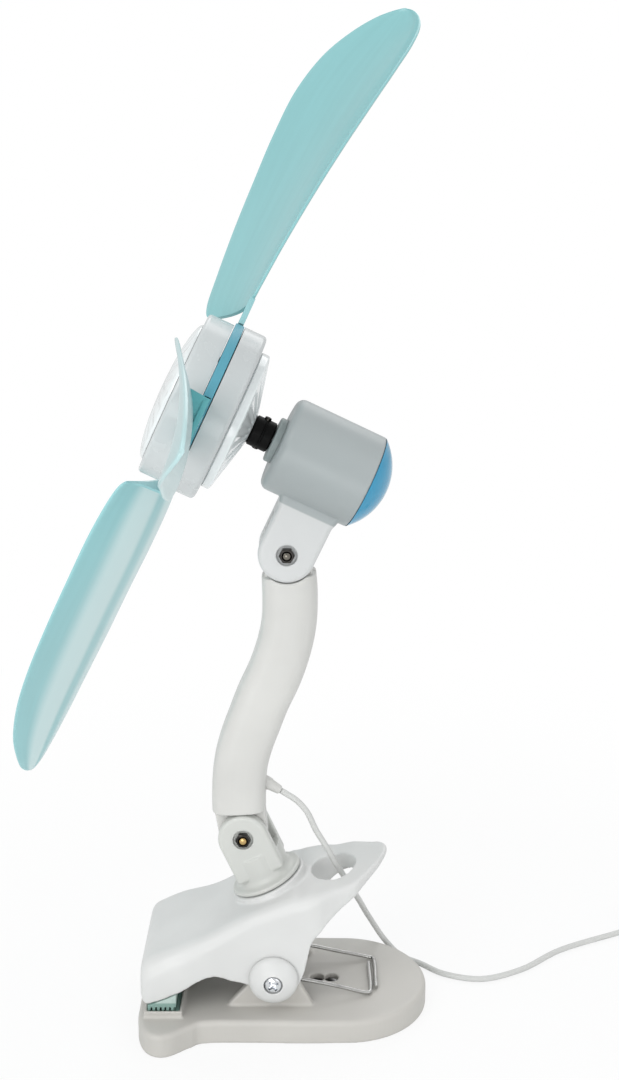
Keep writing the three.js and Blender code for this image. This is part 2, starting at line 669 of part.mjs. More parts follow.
function armBody() {
  const [low, high] = [armShare(SHOULDER_LOW, false), armShare(SHOULDER_HIGH, true)];
  const inLow = armShare(SHOULDER_LOW + 3, false);
  const inHigh = armShare(STEM_R + 4, true);
  let body = solid(loft(armRings(0, low, high, 20)));
  body = cut(body, alongY(disc(STEM_R + 0.4, -20, 20, 36)).translate(...upperPivot));
  const tongue = (pivot, u) => {
    const aim = armLine.getPointAt(u).sub(pivot);
    const angle = THREE.MathUtils.radToDeg(Math.atan2(aim.z, aim.x));
    const [c, s] = [Math.cos(rad(angle)), Math.sin(rad(angle))];
    const reach = aim.length();
    const flank = TONGUE_R - 1;
    const out = (side) => [
      pivot.x + reach * c - side * flank * s,
      pivot.z + reach * s + side * flank * c,
    ];
    const round = arc(pivot.x, pivot.z, TONGUE_R, angle + 80, angle + 280, 20);
    return plateY([out(-1), out(1), ...round], -TONGUE_HALF, TONGUE_HALF);
  };
  body = body.add(solid(tongue(lowerPivot, inLow)));
  body = body.add(solid(tongue(upperPivot, inHigh)));
  body = body.subtract(solid(loft(armRings(ARM_WALL, inLow, inHigh, 14))));
  const post = armLine.getPointAt(0.52);
  body = body.add(solid(alongY(disc(3, -ARM_HALF_THICK + 1, ARM_HALF_THICK - 1, 16)).translate(...post)));
  return cut(
    body,
    alongY(disc(BOLT_R + GAP, -20, 20, 20)).translate(...lowerPivot),
    alongY(disc(BOLT_R + GAP, -20, 20, 20)).translate(...upperPivot),
    alongY(disc(1.2 + GAP, -5, 20, 16)).translate(...post),
    alongY(disc(2.6, 5.6, 20, 16)).translate(...post),
    grommet(GAP),
  );
}
const armSolid = armBody();
const seam = 0.15;
add("arm_near", armSolid.subtract(solid(box(-90, 90, -seam, 90, 0, 300))), white);
add("arm_far", armSolid.subtract(solid(box(-90, 90, -90, seam, 0, 300))), white);
const armPost = armLine.getPointAt(0.52);
add(
  "arm_screw",
  alongY(turned([[0, -4.6], [1.2, -4], [1.2, 5.8], [2.3, 5.8], [2.3, 7.2], [0, 7.6]], 16)).translate(
    ...armPost,
  ),
  steel,
);
add("cord_grommet", grommet(0), white);

// ---------------------------------------------------------------- head
// Its frame: origin in the middle of the ring of blades, Z to the rear, X up, Y to the near side.
const up = V(Math.sin(rad(HEAD_TILT)), 0, Math.cos(rad(HEAD_TILT)));
const rear = V(Math.cos(rad(HEAD_TILT)), 0, -Math.sin(rad(HEAD_TILT)));
const ringCentre = upperPivot
  .clone()
  .addScaledVector(rear, -RING_BEFORE_PIVOT)
  .addScaledVector(up, AXIS_ABOVE_PIVOT);
const head = new THREE.Group();
head.applyMatrix4(
  new THREE.Matrix4().makeBasis(up, V(0, -1, 0), rear).setPosition(ringCentre),
);
fan.add(head);

// Plate drawn along the axis and upwards, thick across the head.
const headPlate = (points, y0, y1, bevel) =>
  plateZ(points, y0, y1, bevel).applyMatrix4(
    new THREE.Matrix4().makeBasis(V(0, 0, 1), V(1, 0, 0), V(0, 1, 0)),
  );

function headHousing() {
  const edge = 3;
  const inner = HOUSING_R - HOUSING_WALL;
  const shell = turned([
    [0, HOUSING_FRONT],
    [HOUSING_R - edge, HOUSING_FRONT],
    ...arc(HOUSING_R - edge, HOUSING_FRONT + edge, edge, 290, 360, 4),
    [HOUSING_R, HOUSING_BACK],
    [0, HOUSING_BACK],
  ], 30);
  const [s, x] = [RING_BEFORE_PIVOT, -AXIS_ABOVE_PIVOT];
  const stem = [
    [s + STEM_R, -HOUSING_R + 5],
    [s - STEM_R, -HOUSING_R + 5],
    ...arc(s, x, STEM_R, 180, 360, 14),
  ];
  let body = solid(shell).add(solid(headPlate(stem, -EAR_HALF, EAR_HALF, 1.6)));
  body = cut(
    body,
    disc(inner, HOUSING_FRONT + HOUSING_WALL, HOUSING_BACK + 1, 36),
    disc(3.2, HOUSING_FRONT - 1, HOUSING_FRONT + HOUSING_WALL + 1, 20),
    box(-60, x + TONGUE_R + 1.3, -TONGUE_HALF - GAP, TONGUE_HALF + GAP, s - 20, s + 20),
  );
  const across = (g) => g.rotateX(Math.PI / 2).translate(x, 0, s);
  body = cut(body, across(disc(BOLT_R + GAP, -20, 20, 20)));
  for (const sign of [-1, 1]) {
    const z = [sign * (EAR_HALF - POCKET_DEPTH), sign * (EAR_HALF + 3)].sort((p, q) => p - q);
    body = cut(body, across(disc(POCKET_R, z[0], z[1], 16)));
  }
  return body;
}
add("head_housing", headHousing(), { ...white, color: 0xc3cbcb }, head);

function rearDome() {
  const rim = HOUSING_R - 0.2;
  const sphere = (rim ** 2 + DOME_HEIGHT ** 2) / (2 * DOME_HEIGHT);
  const z0 = HOUSING_BACK + 0.1;
  const apex = z0 + DOME_HEIGHT;
  const sweep = THREE.MathUtils.radToDeg(Math.asin(rim / sphere));
  const cap = arc(0, apex - sphere, sphere, 90 - sweep, 90, 6);
  const plug = HOUSING_R - HOUSING_WALL - GAP;
  return turned([[0, z0 - 3], [plug, z0 - 3], [plug, z0], ...cap.slice(0, -1), [0, apex]], 28);
}
add("rear_dome", rearDome(), { color: 0x4693b0, roughness: 0.15, metalness: 0 }, head);
add(
  "front_collar",
  ring(SHAFT_R + 0.5, COLLAR_R, COUPLER_BACK + 0.3, HOUSING_FRONT - 0.1, 24),
  { color: 0x747d7d, roughness: 0.5, metalness: 0 },
  head,
);

// ---------------------------------------------------------------- motor
const CAN_FRONT = HOUSING_FRONT + HOUSING_WALL + GAP;
const CAN_BACK = 55;
function motorCan() {
  const inner = CAN_R - CAN_WALL;
  return turned([
    [3, CAN_FRONT],
    [CAN_R - 0.8, CAN_FRONT],
    [CAN_R, CAN_FRONT + 0.8],
    [CAN_R, CAN_BACK],
    [inner, CAN_BACK],
    [inner, CAN_FRONT + CAN_WALL],
    [3, CAN_FRONT + CAN_WALL],
    [3, CAN_FRONT],
  ], 28);
}
add("motor_can", motorCan(), steel, head);
add("magnet_ring", ring(MAGNET_R - MAGNET_WALL, MAGNET_R, 36, 50.5), darkSteel, head);
add(
  "motor_end_cap",
  turned([
    [2.9, CAN_BACK - 1.6],
    [MAGNET_R, CAN_BACK - 1.6],
    [MAGNET_R, CAN_BACK + 0.1],
    [CAN_R, CAN_BACK + 0.1],
    [CAN_R, CAN_BACK + 2],
    [2.9, CAN_BACK + 2],
    [2.9, CAN_BACK - 1.6],
  ]),
  black,
  head,
);
const bush = (z0, z1) => ring(SHAFT_R + 0.15, 2.8, z0, z1, 20);
add("front_bush", bush(CAN_FRONT - 0.2, CAN_FRONT + 2.4), brass, head);
add("rear_bush", bush(CAN_BACK - 1.6, CAN_BACK + 2.4), brass, head);
add("motor_shaft", disc(SHAFT_R, 12, CAN_BACK + 3.5, 16), steel, head);

function armatureCore() {
  let body = solid(ring(SHAFT_R + 0.1, CORE_R, CORE_FRONT, CORE_BACK, 36));
  for (let i = 0; i < 3; i++) {
    const ends = [CORE_FRONT - 1, CORE_BACK + 1];
    const slot = box(CORE_R - 5.7, CORE_R - 1.3, -3.4, 3.4, ...ends);
    const mouth = box(CORE_R - 1.9, CORE_R + 2, -0.6, 0.6, ...ends);
    body = cut(body, slot.rotateZ((2 * Math.PI * i) / 3), mouth.rotateZ((2 * Math.PI * i) / 3));
  }
  return body;
}
add("armature_core", armatureCore(), darkSteel, head);
const winding = (z0, z1) => {
  const m = (z0 + z1) / 2;
  const [r0, r1, r2, r3] = [WINDING_IN_R, WINDING_IN_R + 1, CORE_R - 2.3, CORE_R - 1.1];
  return turned([
    [r0, z0 + 0.6], [r1, z0], [r2, z0], [r3, m - 0.4], [r3, m + 0.4], [r2, z1], [r1, z1],
    [r0, z1 - 0.6], [r0, z0 + 0.6],
  ]);
};
add("winding_front", winding(CORE_FRONT - 3.2, CORE_FRONT - 0.1), copper, head);
add("winding_rear", winding(CORE_BACK + 0.1, CORE_BACK + 3), copper, head);
add("commutator", ring(SHAFT_R + 0.1, COMMUTATOR_R, CORE_BACK + 0.2, CAN_BACK - 1.8, 20), copper, head);

// ---------------------------------------------------------------- hub
function coupler() {
  const front = CONE_BACK + 0.2;
  let body = solid(
    turned([
      [0, -2.4],
      [SPIGOT_R - 0.4, -2.4],
      [SPIGOT_R, -2],
      [SPIGOT_R, front],
      [COUPLER_R, front],
      [COUPLER_R, COUPLER_BACK],
      [0, COUPLER_BACK],
    ]),
  );
  body = cut(body, disc(SHAFT_R + 0.1, 11.6, COUPLER_BACK + 1, 16));
  const z = (CONE_BACK + COUPLER_BACK) / 2;
  const hole = disc(1.3, -12, 12, 16).rotateY(Math.PI / 2).translate(0, 0, z);
  return cut(body, hole);
}
add("shaft_coupler", coupler(), black, head);
const setScrew = (sign) =>
  disc(1.2, SHAFT_R + 0.1, COUPLER_R + (sign > 0 ? 0.8 : 0.3), 14)
    .rotateY((sign * Math.PI) / 2)
    .translate(0, 0, (CONE_BACK + COUPLER_BACK) / 2);
add("set_screw_upper", setScrew(1), darkSteel, head);
add("set_screw_lower", setScrew(-1), darkSteel, head);

add(
  "rear_flange",
  turned([
    [SPIGOT_R + 0.2, REAR_DEPTH + 0.2],
    [TIER_R - 0.4, REAR_DEPTH + 0.2],
    [TIER_R, REAR_DEPTH + 0.7],
    [TIER_R, TIER_BACK - 0.5],
    [TIER_R - 0.6, TIER_BACK],
    [TIER_R - 3.6, TIER_BACK + 0.2],
    [6.2, CONE_BACK],
    [SPIGOT_R + 0.2, CONE_BACK],
    [SPIGOT_R + 0.2, REAR_DEPTH + 0.2],
  ], 28),
  white,
  head,
);

const around = (make) =>
  Array.from({ length: BLADES }, (_, i) => {
    const a = rad(BLADE_START) + (2 * Math.PI * i) / BLADES;
    // Angles run from the near side (Y) towards the top (X).
    return make().translate(SCREW_CIRCLE * Math.sin(a), SCREW_CIRCLE * Math.cos(a), 0);
  });

const BLADE_ROOT_HALF = 1;
const REAR_IN = RING_HALF + 0.3;
function rearShell() {
  let body = solid(
    turned([
      [SPIGOT_R + 0.2, REAR_IN],
      [6.5, REAR_IN],
      [6.5, REAR_DEPTH - HUB_WALL],
      [RING_R - HUB_WALL, REAR_DEPTH - HUB_WALL],
      [RING_R - HUB_WALL, REAR_IN],
      [RING_R, REAR_IN],
      [RING_R - 0.6, REAR_DEPTH - 0.9],
      [RING_R - 1.4, REAR_DEPTH],
      [SPIGOT_R + 0.2, REAR_DEPTH],
      [SPIGOT_R + 0.2, REAR_IN],
    ], 28),
  );
  for (const g of around(() => disc(3.6, REAR_IN, REAR_DEPTH - 0.5, 16))) body = body.add(solid(g));
  for (const g of around(() => disc(1.4, 0, 20, 14))) body = cut(body, g);
  for (const g of around(() => disc(2.7, REAR_DEPTH - 2, 20, 16))) body = cut(body, g);
  return body;
}
add("rear_shell", rearShell(), white, head);

function frontShell() {
  let body = solid(
    turned([
      [SPIGOT_R + 0.2, -FRONT_DEPTH + HUB_WALL],
      [HUB_R - HUB_WALL, -FRONT_DEPTH + HUB_WALL],
      [HUB_R - HUB_WALL, -REAR_IN],
      [HUB_R, -REAR_IN],
      [HUB_R, -FRONT_DEPTH + 1.4],
      [HUB_R - 1.2, -FRONT_DEPTH + 0.2],
      [TIER_R + 0.4, -FRONT_DEPTH],
      [SPIGOT_R + 0.2, -FRONT_DEPTH],
      [SPIGOT_R + 0.2, -FRONT_DEPTH + HUB_WALL],
    ], 28),
  );
  body = body.add(solid(ring(SPIGOT_R + 0.2, 6.5, -FRONT_DEPTH + 1, -6.2)));
  for (const g of around(() => disc(2.9, -FRONT_DEPTH + 1, REAR_IN - 0.3, 16))) body = body.add(solid(g));
  for (const g of around(() => disc(1.4, -7, 20, 14))) body = cut(body, g);
  return body;
}
add("front_shell", frontShell(), white, head);

function frontCap() {
  const z = -FRONT_DEPTH - 0.2;
  const rise = CAP_FRONT - FRONT_DEPTH - 0.2;
  const dome = (r, lift) => [r, z - lift * rise];
  const [a, b] = [TIER_R - 0.1, 1.6];
  return turned([
    [0, z - rise],
    dome(0.35 * a, 0.93),
    dome(0.65 * a, 0.72),
    dome(0.86 * a, 0.42),
    dome(a, 0.12),
    [a, z],
    [a - b, z],
    [0.7 * a, z - 0.3 * rise],
    [0.4 * a, z - 0.5 * rise],
    [0, z - 0.58 * rise],
  ], 28);
}
add("front_cap", frontCap(), white, head);
add("hub_nut", hexNut(SPIGOT_R + 0.1, 5.8, -5.9, -2.6), steel, head);
const hubScrew = () =>
  turned([
    [0, -6],
    [1.1, -5],
    [1.1, REAR_DEPTH - 1.9],
    [2.4, REAR_DEPTH - 1.9],
    [2.4, REAR_DEPTH - 0.4],
    [0, REAR_DEPTH - 0.2],
  ], 14);
around(hubScrew).forEach((g, i) => add(`hub_screw_${"abc"[i]}`, g, steel, head));

function bladeRing() {
  let body = solid(ring(RING_R - 4, RING_R, -RING_HALF, RING_HALF, 30));
  for (let i = 0; i < BLADES; i++) body = cut(body, toBlade(box(20, 40, -17.5, 3.5, -1.3, 1.3), i));
  return body;
}

// ---------------------------------------------------------------- blades
// A blade's own frame: X outwards, Y the way its angle grows, Z forward.
function toBlade(g, i) {
  const a = rad(BLADE_START) + (2 * Math.PI * i) / BLADES;
  const out = V(Math.sin(a), Math.cos(a), 0);
  const onward = V(Math.cos(a), -Math.sin(a), 0);
  return g.applyMatrix4(new THREE.Matrix4().makeBasis(out, onward, V(0, 0, -1)));
}

const bulge = new THREE.CatmullRomCurve3(
  [
    [38, 3.2, 13.7], [60, 9.5, 15.9], [85, 12.6, 17], [110, 13.9, 17.7], [135, 10.4, 19.9],
    [158, 1.9, 19.3], [178, -3.7, 13.7], [193, -6.1, 8.2], [BLADE_TIP_R - 0.4, -5.6, -5],
  ].map((p) => V(...p)),
  false,
  "centripetal",
);

// The point on the front edge at a distance r from the axis.
function bulgeAt(r) {
  let [low, high] = [0, 1];
  for (let i = 0; i < 30; i++) {
    const mid = (low + high) / 2;
    if (bulge.getPoint(mid).x < r) low = mid;
    else high = mid;
  }
  return bulge.getPoint(low);
}

function straightAt(r) {
  const u = (r - BLADE_ROOT_R) / (BLADE_TIP_R - BLADE_ROOT_R);
  const bow = 4 * u * (1 - u);
  return V(r, -5 - 0.9 * u - BLADE_BOW * bow, -1.3 - 4.7 * u + 0.5 * bow);
}

// Section at r: nearly flat by the straight edge, steepening to the front edge.
function bladeSection(r, chord) {
  const [a, b] = [straightAt(r), bulgeAt(r)];
  const [run, rise] = [b.y - a.y, b.z - a.z];
  const flat = Math.min(run * Math.tan(rad(10)), 0.5 * rise);
  const at = (v) => V(r, a.y + run * v, a.z + flat * v + (rise - flat) * v ** 1.5);
  const [front, back] = [[], []];
  for (let k = 0; k <= chord; k++) {
    const v = k / chord;
    const p = at(v);
    const t = at(v + 0.02).sub(at(v - 0.0)).normalize();
    const edge = k === 0 || k === chord ? 0.3 : 1;
    const n = V(0, -t.z, t.y).multiplyScalar((edge * BLADE_THICK) / 2);
    front.push(p.clone().add(n));
    back.push(p.clone().sub(n));
  }
  return [...front, ...back.reverse()];
}

function blade() {
  const rings = [];
  const steps = 18;
  for (let i = 0; i <= steps; i++) {
    const f = i / steps;
    const r = BLADE_ROOT_R + (BLADE_TIP_R - 0.8 - BLADE_ROOT_R) * (1 - (1 - f) ** 1.25);
    rings.push(bladeSection(r, 6));
  }
  const t = BLADE_ROOT_HALF;
  const neck = [
    [15, -8], [15, 8], [24, 8], [26.5, 2.8], [BLADE_ROOT_R + 1, 2.8], [BLADE_ROOT_R + 9, -5],
    [BLADE_ROOT_R + 6, -12], [BLADE_ROOT_R - 1, -16.8], [26.5, -16.8], [24, -8],
  ];
  let body = join(loft(rings), plateZ(neck, -t, t));
  return cut(body, disc(3.2, -5, 5, 18).translate(SCREW_CIRCLE, 0, 0));
}
add("blade_ring", bladeRing(), { ...teal, color: 0x68afbb }, head);
const bladeSolid = geometryOf(blade());
for (let i = 0; i < BLADES; i++)
  add(`blade_${"abc"[i]}`, toBlade(bladeSolid.clone(), i), { ...teal, color: 0x9bcbce }, head);

// ---------------------------------------------------------------- cord
const cordRoute = [
  [8.7, 0, 82.5], [12.4, 0, 78], [15.7, 0, 70.7], [19.5, 0, 64.1], [22.9, 1, 57.1],
  [26.8, 4.8, 48.7], [32, 11, 36.9], [37.7, 29.3, 18.1], [44, 30.5, 7.6], [50.2, 27.6, 2.4],
  [58, 23, 1.35], [66.5, 15.5, 1.3], [80.6, 11.5, 1.3], [97.2, 18.2, 1.3], [115.7, 33.7, 1.3],
  [141.7, 47.5, 1.3],
].map((p) => V(...p));
const cordStart = grommetSpot.clone().addScaledVector(grommetAim, 5.8);
const FLOOR = 1.3; // height of the cord's middle on the table
const leave = V(0.883, 0.469, 0); // the way the cord leaves to the right
const switchStart = V(150.6, 52.2, FLOOR);
const leadCurve = new THREE.CatmullRomCurve3(
  [cordStart, cordStart.clone().addScaledVector(grommetAim, 2.5), ...cordRoute, switchStart],
  false,
  "centripetal",
);
const cordLook = { color: 0xc9cac8, roughness: 0.5, metalness: 0 };
add("cord_lead", tube(leadCurve, CORD_D / 2, 8, Math.round(leadCurve.getLength() / 5.5)), cordLook);

const facing = new THREE.Quaternion().setFromUnitVectors(V(1, 0, 0), leave);
const switchMiddle = switchStart.clone().addScaledVector(leave, SWITCH[0] / 2 + GAP);
const switchGroup = new THREE.Group();
switchGroup.position.set(switchMiddle.x, switchMiddle.y, SWITCH[2] / 2 + 0.05);
switchGroup.quaternion.copy(facing);
fan.add(switchGroup);

function switchBody() {
  const [lx, ly, lz] = SWITCH;
  let body = solid(roundedBlock([lx - 2, ly, lz], 2.4));
  for (const s of [-1, 1]) {
    const relief = turned([[0, 0], [2.6, 0], [1.7, 2.4], [0, 2.4]], 14).rotateY((s * Math.PI) / 2);
    body = body.add(solid(relief.translate(s * (lx / 2 - 2.4), 0, FLOOR - lz / 2 + 1.3)));
  }
  return cut(body, box(-7.6, 7.6, -4.5, 4.5, 0, lz));
}
add("switch_body", switchBody(), { color: 0xf0f1ef, roughness: 0.4, metalness: 0 }, switchGroup);
const rocker = add(
  "switch_rocker",
  plateY([[-6.6, 0], [6.6, 0], [7, 2.6], [4, 2.2], [0, 1.7], [-4, 2.2], [-7, 2.6]], -4.1, 4.1),
  white,
  switchGroup,
);
rocker.position.set(0, 0, SWITCH[2] / 2 - 1.9);
rocker.rotation.y = rad(-7);

// Turns inwards and outwards in layers, climbing where the spiral turns round, then a straight tail.
function coilCurve() {
  const start = switchMiddle.clone().addScaledVector(leave, SWITCH[0] / 2 + GAP).setZ(FLOOR);
  const entry = start.clone().addScaledVector(leave, RUN_IN);
  const aside = V(-leave.y, leave.x, 0);
  const centre = entry.clone().addScaledVector(aside, CORD_COIL_R);
  const first = Math.atan2(-leave.x, leave.y);
  const total = LAYERS * TURNS_A_LAYER;
  const points = [start, start.clone().addScaledVector(leave, 5), start.clone().addScaledVector(leave, 12)];
  const count = Math.round(24 * total);
  for (let i = 0; i <= count; i++) {
    const t = (total * i) / count;
    const layer = Math.min(LAYERS - 1, Math.floor(t / TURNS_A_LAYER));
    const along = t - layer * TURNS_A_LAYER;
    const inwards = layer % 2 === 0 ? along : TURNS_A_LAYER - along;
    const r = CORD_COIL_R - COIL_PITCH * inwards;
    let height = 0;
    for (let k = 1; k < LAYERS; k++)
      height += THREE.MathUtils.smoothstep(t, k * TURNS_A_LAYER - 0.25, k * TURNS_A_LAYER + 0.25);
    const a = first + 2 * Math.PI * t;
    points.push(V(centre.x + r * Math.cos(a), centre.y + r * Math.sin(a), FLOOR + LAYER_PITCH * height));
  }
  const a = first + 2 * Math.PI * total;
  const tail = V(-Math.sin(a), Math.cos(a), 0);
  const end = points[points.length - 1].clone();
  const fall = end.z - GRIP[2] / 2 - 0.2;
  for (const [along, down] of [[8, 0.06], [16, 0.3], [24, 0.65], [32, 0.94], [38, 1], [42, 1]])
    points.push(end.clone().addScaledVector(tail, along).add(V(0, 0, -fall * down)));
  return { curve: new THREE.CatmullRomCurve3(points, false, "centripetal"), tail };
}
const coil = coilCurve();
add("cord_coil", tube(coil.curve, CORD_D / 2, 6, Math.round(coil.curve.getLength() / 3.55)), cordLook);

function leastGap(curve, diameter) {
  const points = curve.getSpacedPoints(Math.round(curve.getLength() / 1.5));
  let least = Infinity;
  for (let i = 0; i < points.length; i++)
    for (let k = i + 10; k < points.length; k++)
      least = Math.min(least, points[i].distanceTo(points[k]));
  return least - diameter;
}
console.log(`cord coil: least gap to itself ${leastGap(coil.curve, CORD_D).toFixed(2)} mm`);
const wire = springPath();
console.log(`clip spring: least gap to itself ${leastGap(wire, 2 * WIRE_R).toFixed(2)} mm`);

const plug = new THREE.Group();
plug.position.copy(coil.curve.getPoint(1).addScaledVector(coil.tail, GAP));
plug.quaternion.setFromUnitVectors(V(1, 0, 0), coil.tail);
fan.add(plug);
function plugGrip() {
  const relief = turned([[0, 0], [1.7, 0], [3, 8], [3, 11], [0, 11]], 16).rotateY(Math.PI / 2);
  const grip = roundedBlock(GRIP, 1.8).translate(9 + GRIP[0] / 2, 0, 0);
  return join(relief, grip);
}
add("plug_grip", plugGrip(), { color: 0xeef0ee, roughness: 0.45, metalness: 0 }, plug);
function plugShell() {
  const [lx, ly, lz] = SHELL;
  const x0 = 9 + GRIP[0] + 0.1;
  const t = 0.4;
  const outer = solid(box(x0, x0 + lx, -ly / 2, ly / 2, -lz / 2, lz / 2));
  return cut(outer, box(x0 + 1, x0 + lx + 1, t - ly / 2, ly / 2 - t, t - lz / 2 + 1.8, lz / 2 - t));
}
add("plug_shell", plugShell(), steel, plug);

export default fan;
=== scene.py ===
"""Looks of the clip fan. Lengths in the shape functions are millimetres; every mesh is made in metres."""
import math

import bmesh
import bpy
from mathutils import Matrix, Vector


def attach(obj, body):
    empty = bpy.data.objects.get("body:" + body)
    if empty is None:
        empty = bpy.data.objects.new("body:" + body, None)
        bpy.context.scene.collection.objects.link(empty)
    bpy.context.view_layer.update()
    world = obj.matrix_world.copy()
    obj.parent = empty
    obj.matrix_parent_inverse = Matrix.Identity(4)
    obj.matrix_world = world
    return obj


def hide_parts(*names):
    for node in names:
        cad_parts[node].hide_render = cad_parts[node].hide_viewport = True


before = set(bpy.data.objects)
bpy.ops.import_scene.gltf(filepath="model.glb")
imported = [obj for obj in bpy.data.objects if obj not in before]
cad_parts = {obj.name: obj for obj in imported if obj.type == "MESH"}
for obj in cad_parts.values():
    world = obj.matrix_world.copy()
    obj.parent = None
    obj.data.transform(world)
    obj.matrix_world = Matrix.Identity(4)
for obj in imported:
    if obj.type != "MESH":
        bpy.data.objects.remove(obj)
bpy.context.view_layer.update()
MM = 0.001
rad = math.radians


def added(name, data):
    """An object of that data, in the scene."""
    made = bpy.data.objects.new(name, data)
    bpy.context.scene.collection.objects.link(made)
    return made


# ---- camera
CAMERA_AT, LOOKS_DOWN = (0.0133, -0.518, 0.3171), 14.5
lens = bpy.data.cameras.new("photo_camera")
lens.lens, lens.sensor_width, lens.clip_start = 50, 36, 0.01
camera = added("photo_camera", lens)
camera.location, camera.rotation_euler = CAMERA_AT, (rad(90 - LOOKS_DOWN), 0, 0)
bpy.context.scene.camera = camera


# ---- curves
def spans(points):
    """Bezier control points of the centripetal curve through the points, one span after another."""
    p = [Vector(q) for q in points]
    p = [2 * p[0] - p[1], *p, 2 * p[-1] - p[-2]]
    made = []
    for a, b, c, d in zip(p, p[1:], p[2:], p[3:]):
        t0, t1, t2 = [max((v - u).length, 1e-8) ** 0.5 for u, v in ((a, b), (b, c), (c, d))]
        out = ((b - a) / t0 - (c - a) / (t0 + t1) + (c - b) / t1) * t1
        come = ((c - b) / t1 - (d - b) / (t1 + t2) + (d - c) / t2) * t1
        made.append((b, b + out / 3, c - come / 3, c))
    return made


def drawn(points, per_span=12):
    """Dense points along the centripetal curve."""
    line = []
    for a, b, c, d in spans(points):
        for i in range(per_span):
            t = i / per_span
            s = 1 - t
            line.append(a * s**3 + b * (3 * s * s * t) + c * (3 * s * t * t) + d * t**3)
    return [*line, Vector(points[-1])]


class Line:
    """A dense line that is read by its share of length."""

    def __init__(self, points):
        self.points = points
        self.marks = [0.0]
        for a, b in zip(points, points[1:]):
            self.marks.append(self.marks[-1] + (b - a).length)
        self.length = self.marks[-1]

    def at(self, share):
        want = min(max(share, 0), 1) * self.length
        for i in range(1, len(self.marks)):
            if self.marks[i] >= want:
                step = self.marks[i] - self.marks[i - 1]
                return self.points[i - 1].lerp(self.points[i], (want - self.marks[i - 1]) / step)
        return self.points[-1].copy()

    def along(self, share):
        return (self.at(share + 0.004) - self.at(share - 0.004)).normalized()


def arc(cx, cy, r, start, end, steps):
    angles = [rad(start + (end - start) * i / steps) for i in range(steps + 1)]
    return [(cx + r * math.cos(a), cy + r * math.sin(a)) for a in angles]


def smoothstep(x, low, high):
    t = min(max((x - low) / (high - low), 0), 1)
    return t * t * (3 - 2 * t)


# ---- cords
CORD_D = 2.3
# Height of the cord's middle where it lies, a little above its radius.
FLOOR = 1.3
# Where the cord leaves the arm and which way, and which way it runs through the switch.
GROMMET = Vector((-2.2, 0, 89.7))
GROMMET_AIM = Vector((4.5, 0, -2.8)).normalized()
LEAVE = Vector((0.883, 0.469, 0))
SWITCH_START = Vector((150.6, 52.2, FLOOR))
# Length, width and height of the switch, and of the plug's grip below.
SWITCH = (38, 14, 11)
HALF_SWITCH = LEAVE * (SWITCH[0] / 2 + 0.3)
SWITCH_MIDDLE = SWITCH_START + HALF_SWITCH
GRIP = (26, 14, 7.6)

LEAD = [
    (8.7, 0, 82.5), (12.4, 0, 78), (15.7, 0, 70.7), (19.5, 0, 64.1), (22.9, 1, 57.1),
    (26.8, 4.8, 48.7), (32, 11, 36.9), (37.7, 29.3, 18.1), (44, 30.5, 7.6), (50.2, 27.6, 2.4),
    (58, 23, 1.35), (66.5, 15.5, 1.3), (80.6, 11.5, 1.3), (97.2, 18.2, 1.3), (115.7, 33.7, 1.3),
    (141.7, 47.5, 1.3),
]
lead_start = GROMMET + GROMMET_AIM * 5.8
lead_points = [lead_start, lead_start + GROMMET_AIM * 2.5, *LEAD, SWITCH_START]


def coil_points():
    """Layers of turns inwards and outwards, climbing where the spiral turns round, then a tail."""
    radius, pitch, layers, turns = 17.8, 2.8, 4, 3.0125
    start = SWITCH_MIDDLE + HALF_SWITCH
    start.z = FLOOR
    entry = start + LEAVE * 20
    centre = entry + Vector((-LEAVE.y, LEAVE.x, 0)) * radius
    first = math.atan2(-LEAVE.x, LEAVE.y)
    total = layers * turns
    points = [start, start + LEAVE * 5, start + LEAVE * 12]
    count = round(24 * total)
    for i in range(count + 1):
        t = total * i / count
        layer = min(layers - 1, int(t / turns))
        along = t - layer * turns
        inwards = along if layer % 2 == 0 else turns - along
        r = radius - pitch * inwards
        height = sum(smoothstep(t, k * turns - 0.25, k * turns + 0.25) for k in range(1, layers))
        a = first + 2 * math.pi * t
        points.append(centre + Vector((r * math.cos(a), r * math.sin(a), pitch * height)))
    a = first + 2 * math.pi * total
    tail = Vector((-math.sin(a), math.cos(a), 0))
    end = points[-1].copy()
    fall = end.z - GRIP[2] / 2 - 0.2
    for along, down in ((8, 0.06), (16, 0.3), (24, 0.65), (32, 0.94), (38, 1), (42, 1)):
        points.append(end + tail * along - Vector((0, 0, fall * down)))
    return points, tail


def cord_curve(name, points, diameter):
    """A round cord as one open spline of Bezier points."""
    data = bpy.data.curves.new(name, "CURVE")
    data.dimensions, data.resolution_u = "3D", 6
    data.bevel_depth, data.bevel_resolution, data.use_fill_caps = diameter / 2 * MM, 4, True
    spline = data.splines.new("BEZIER")
    pieces = spans(points)
    spline.bezier_points.add(len(pieces))
    for i, knot in enumerate(spline.bezier_points):
        here = pieces[i][0] if i < len(pieces) else pieces[-1][3]
        knot.handle_left_type = knot.handle_right_type = "FREE"
        knot.co = here * MM
        knot.handle_left = (pieces[i - 1][2] if i else 2 * here - pieces[0][1]) * MM
        knot.handle_right = (pieces[i][1] if i < len(pieces) else 2 * here - pieces[-1][2]) * MM
    return added(name, data)


coil_line, coil_tail = coil_points()
cord_lead = cord_curve("lead", lead_points, CORD_D)
cord_coil = cord_curve("coil", coil_line, CORD_D)


# ---- finishes
def paint(r, g, b):
    """A colour of 0 to 255 screen values as the linear values that a shader takes."""
    return tuple(
        c / 12.92 if c <= 0.04045 else ((c + 0.055) / 1.055) ** 2.4 for c in (r / 255, g / 255, b / 255)
    ) + (1,)


def shade(colour, factor):
    return tuple(min(c * factor, 1) for c in colour[:3]) + (1,)


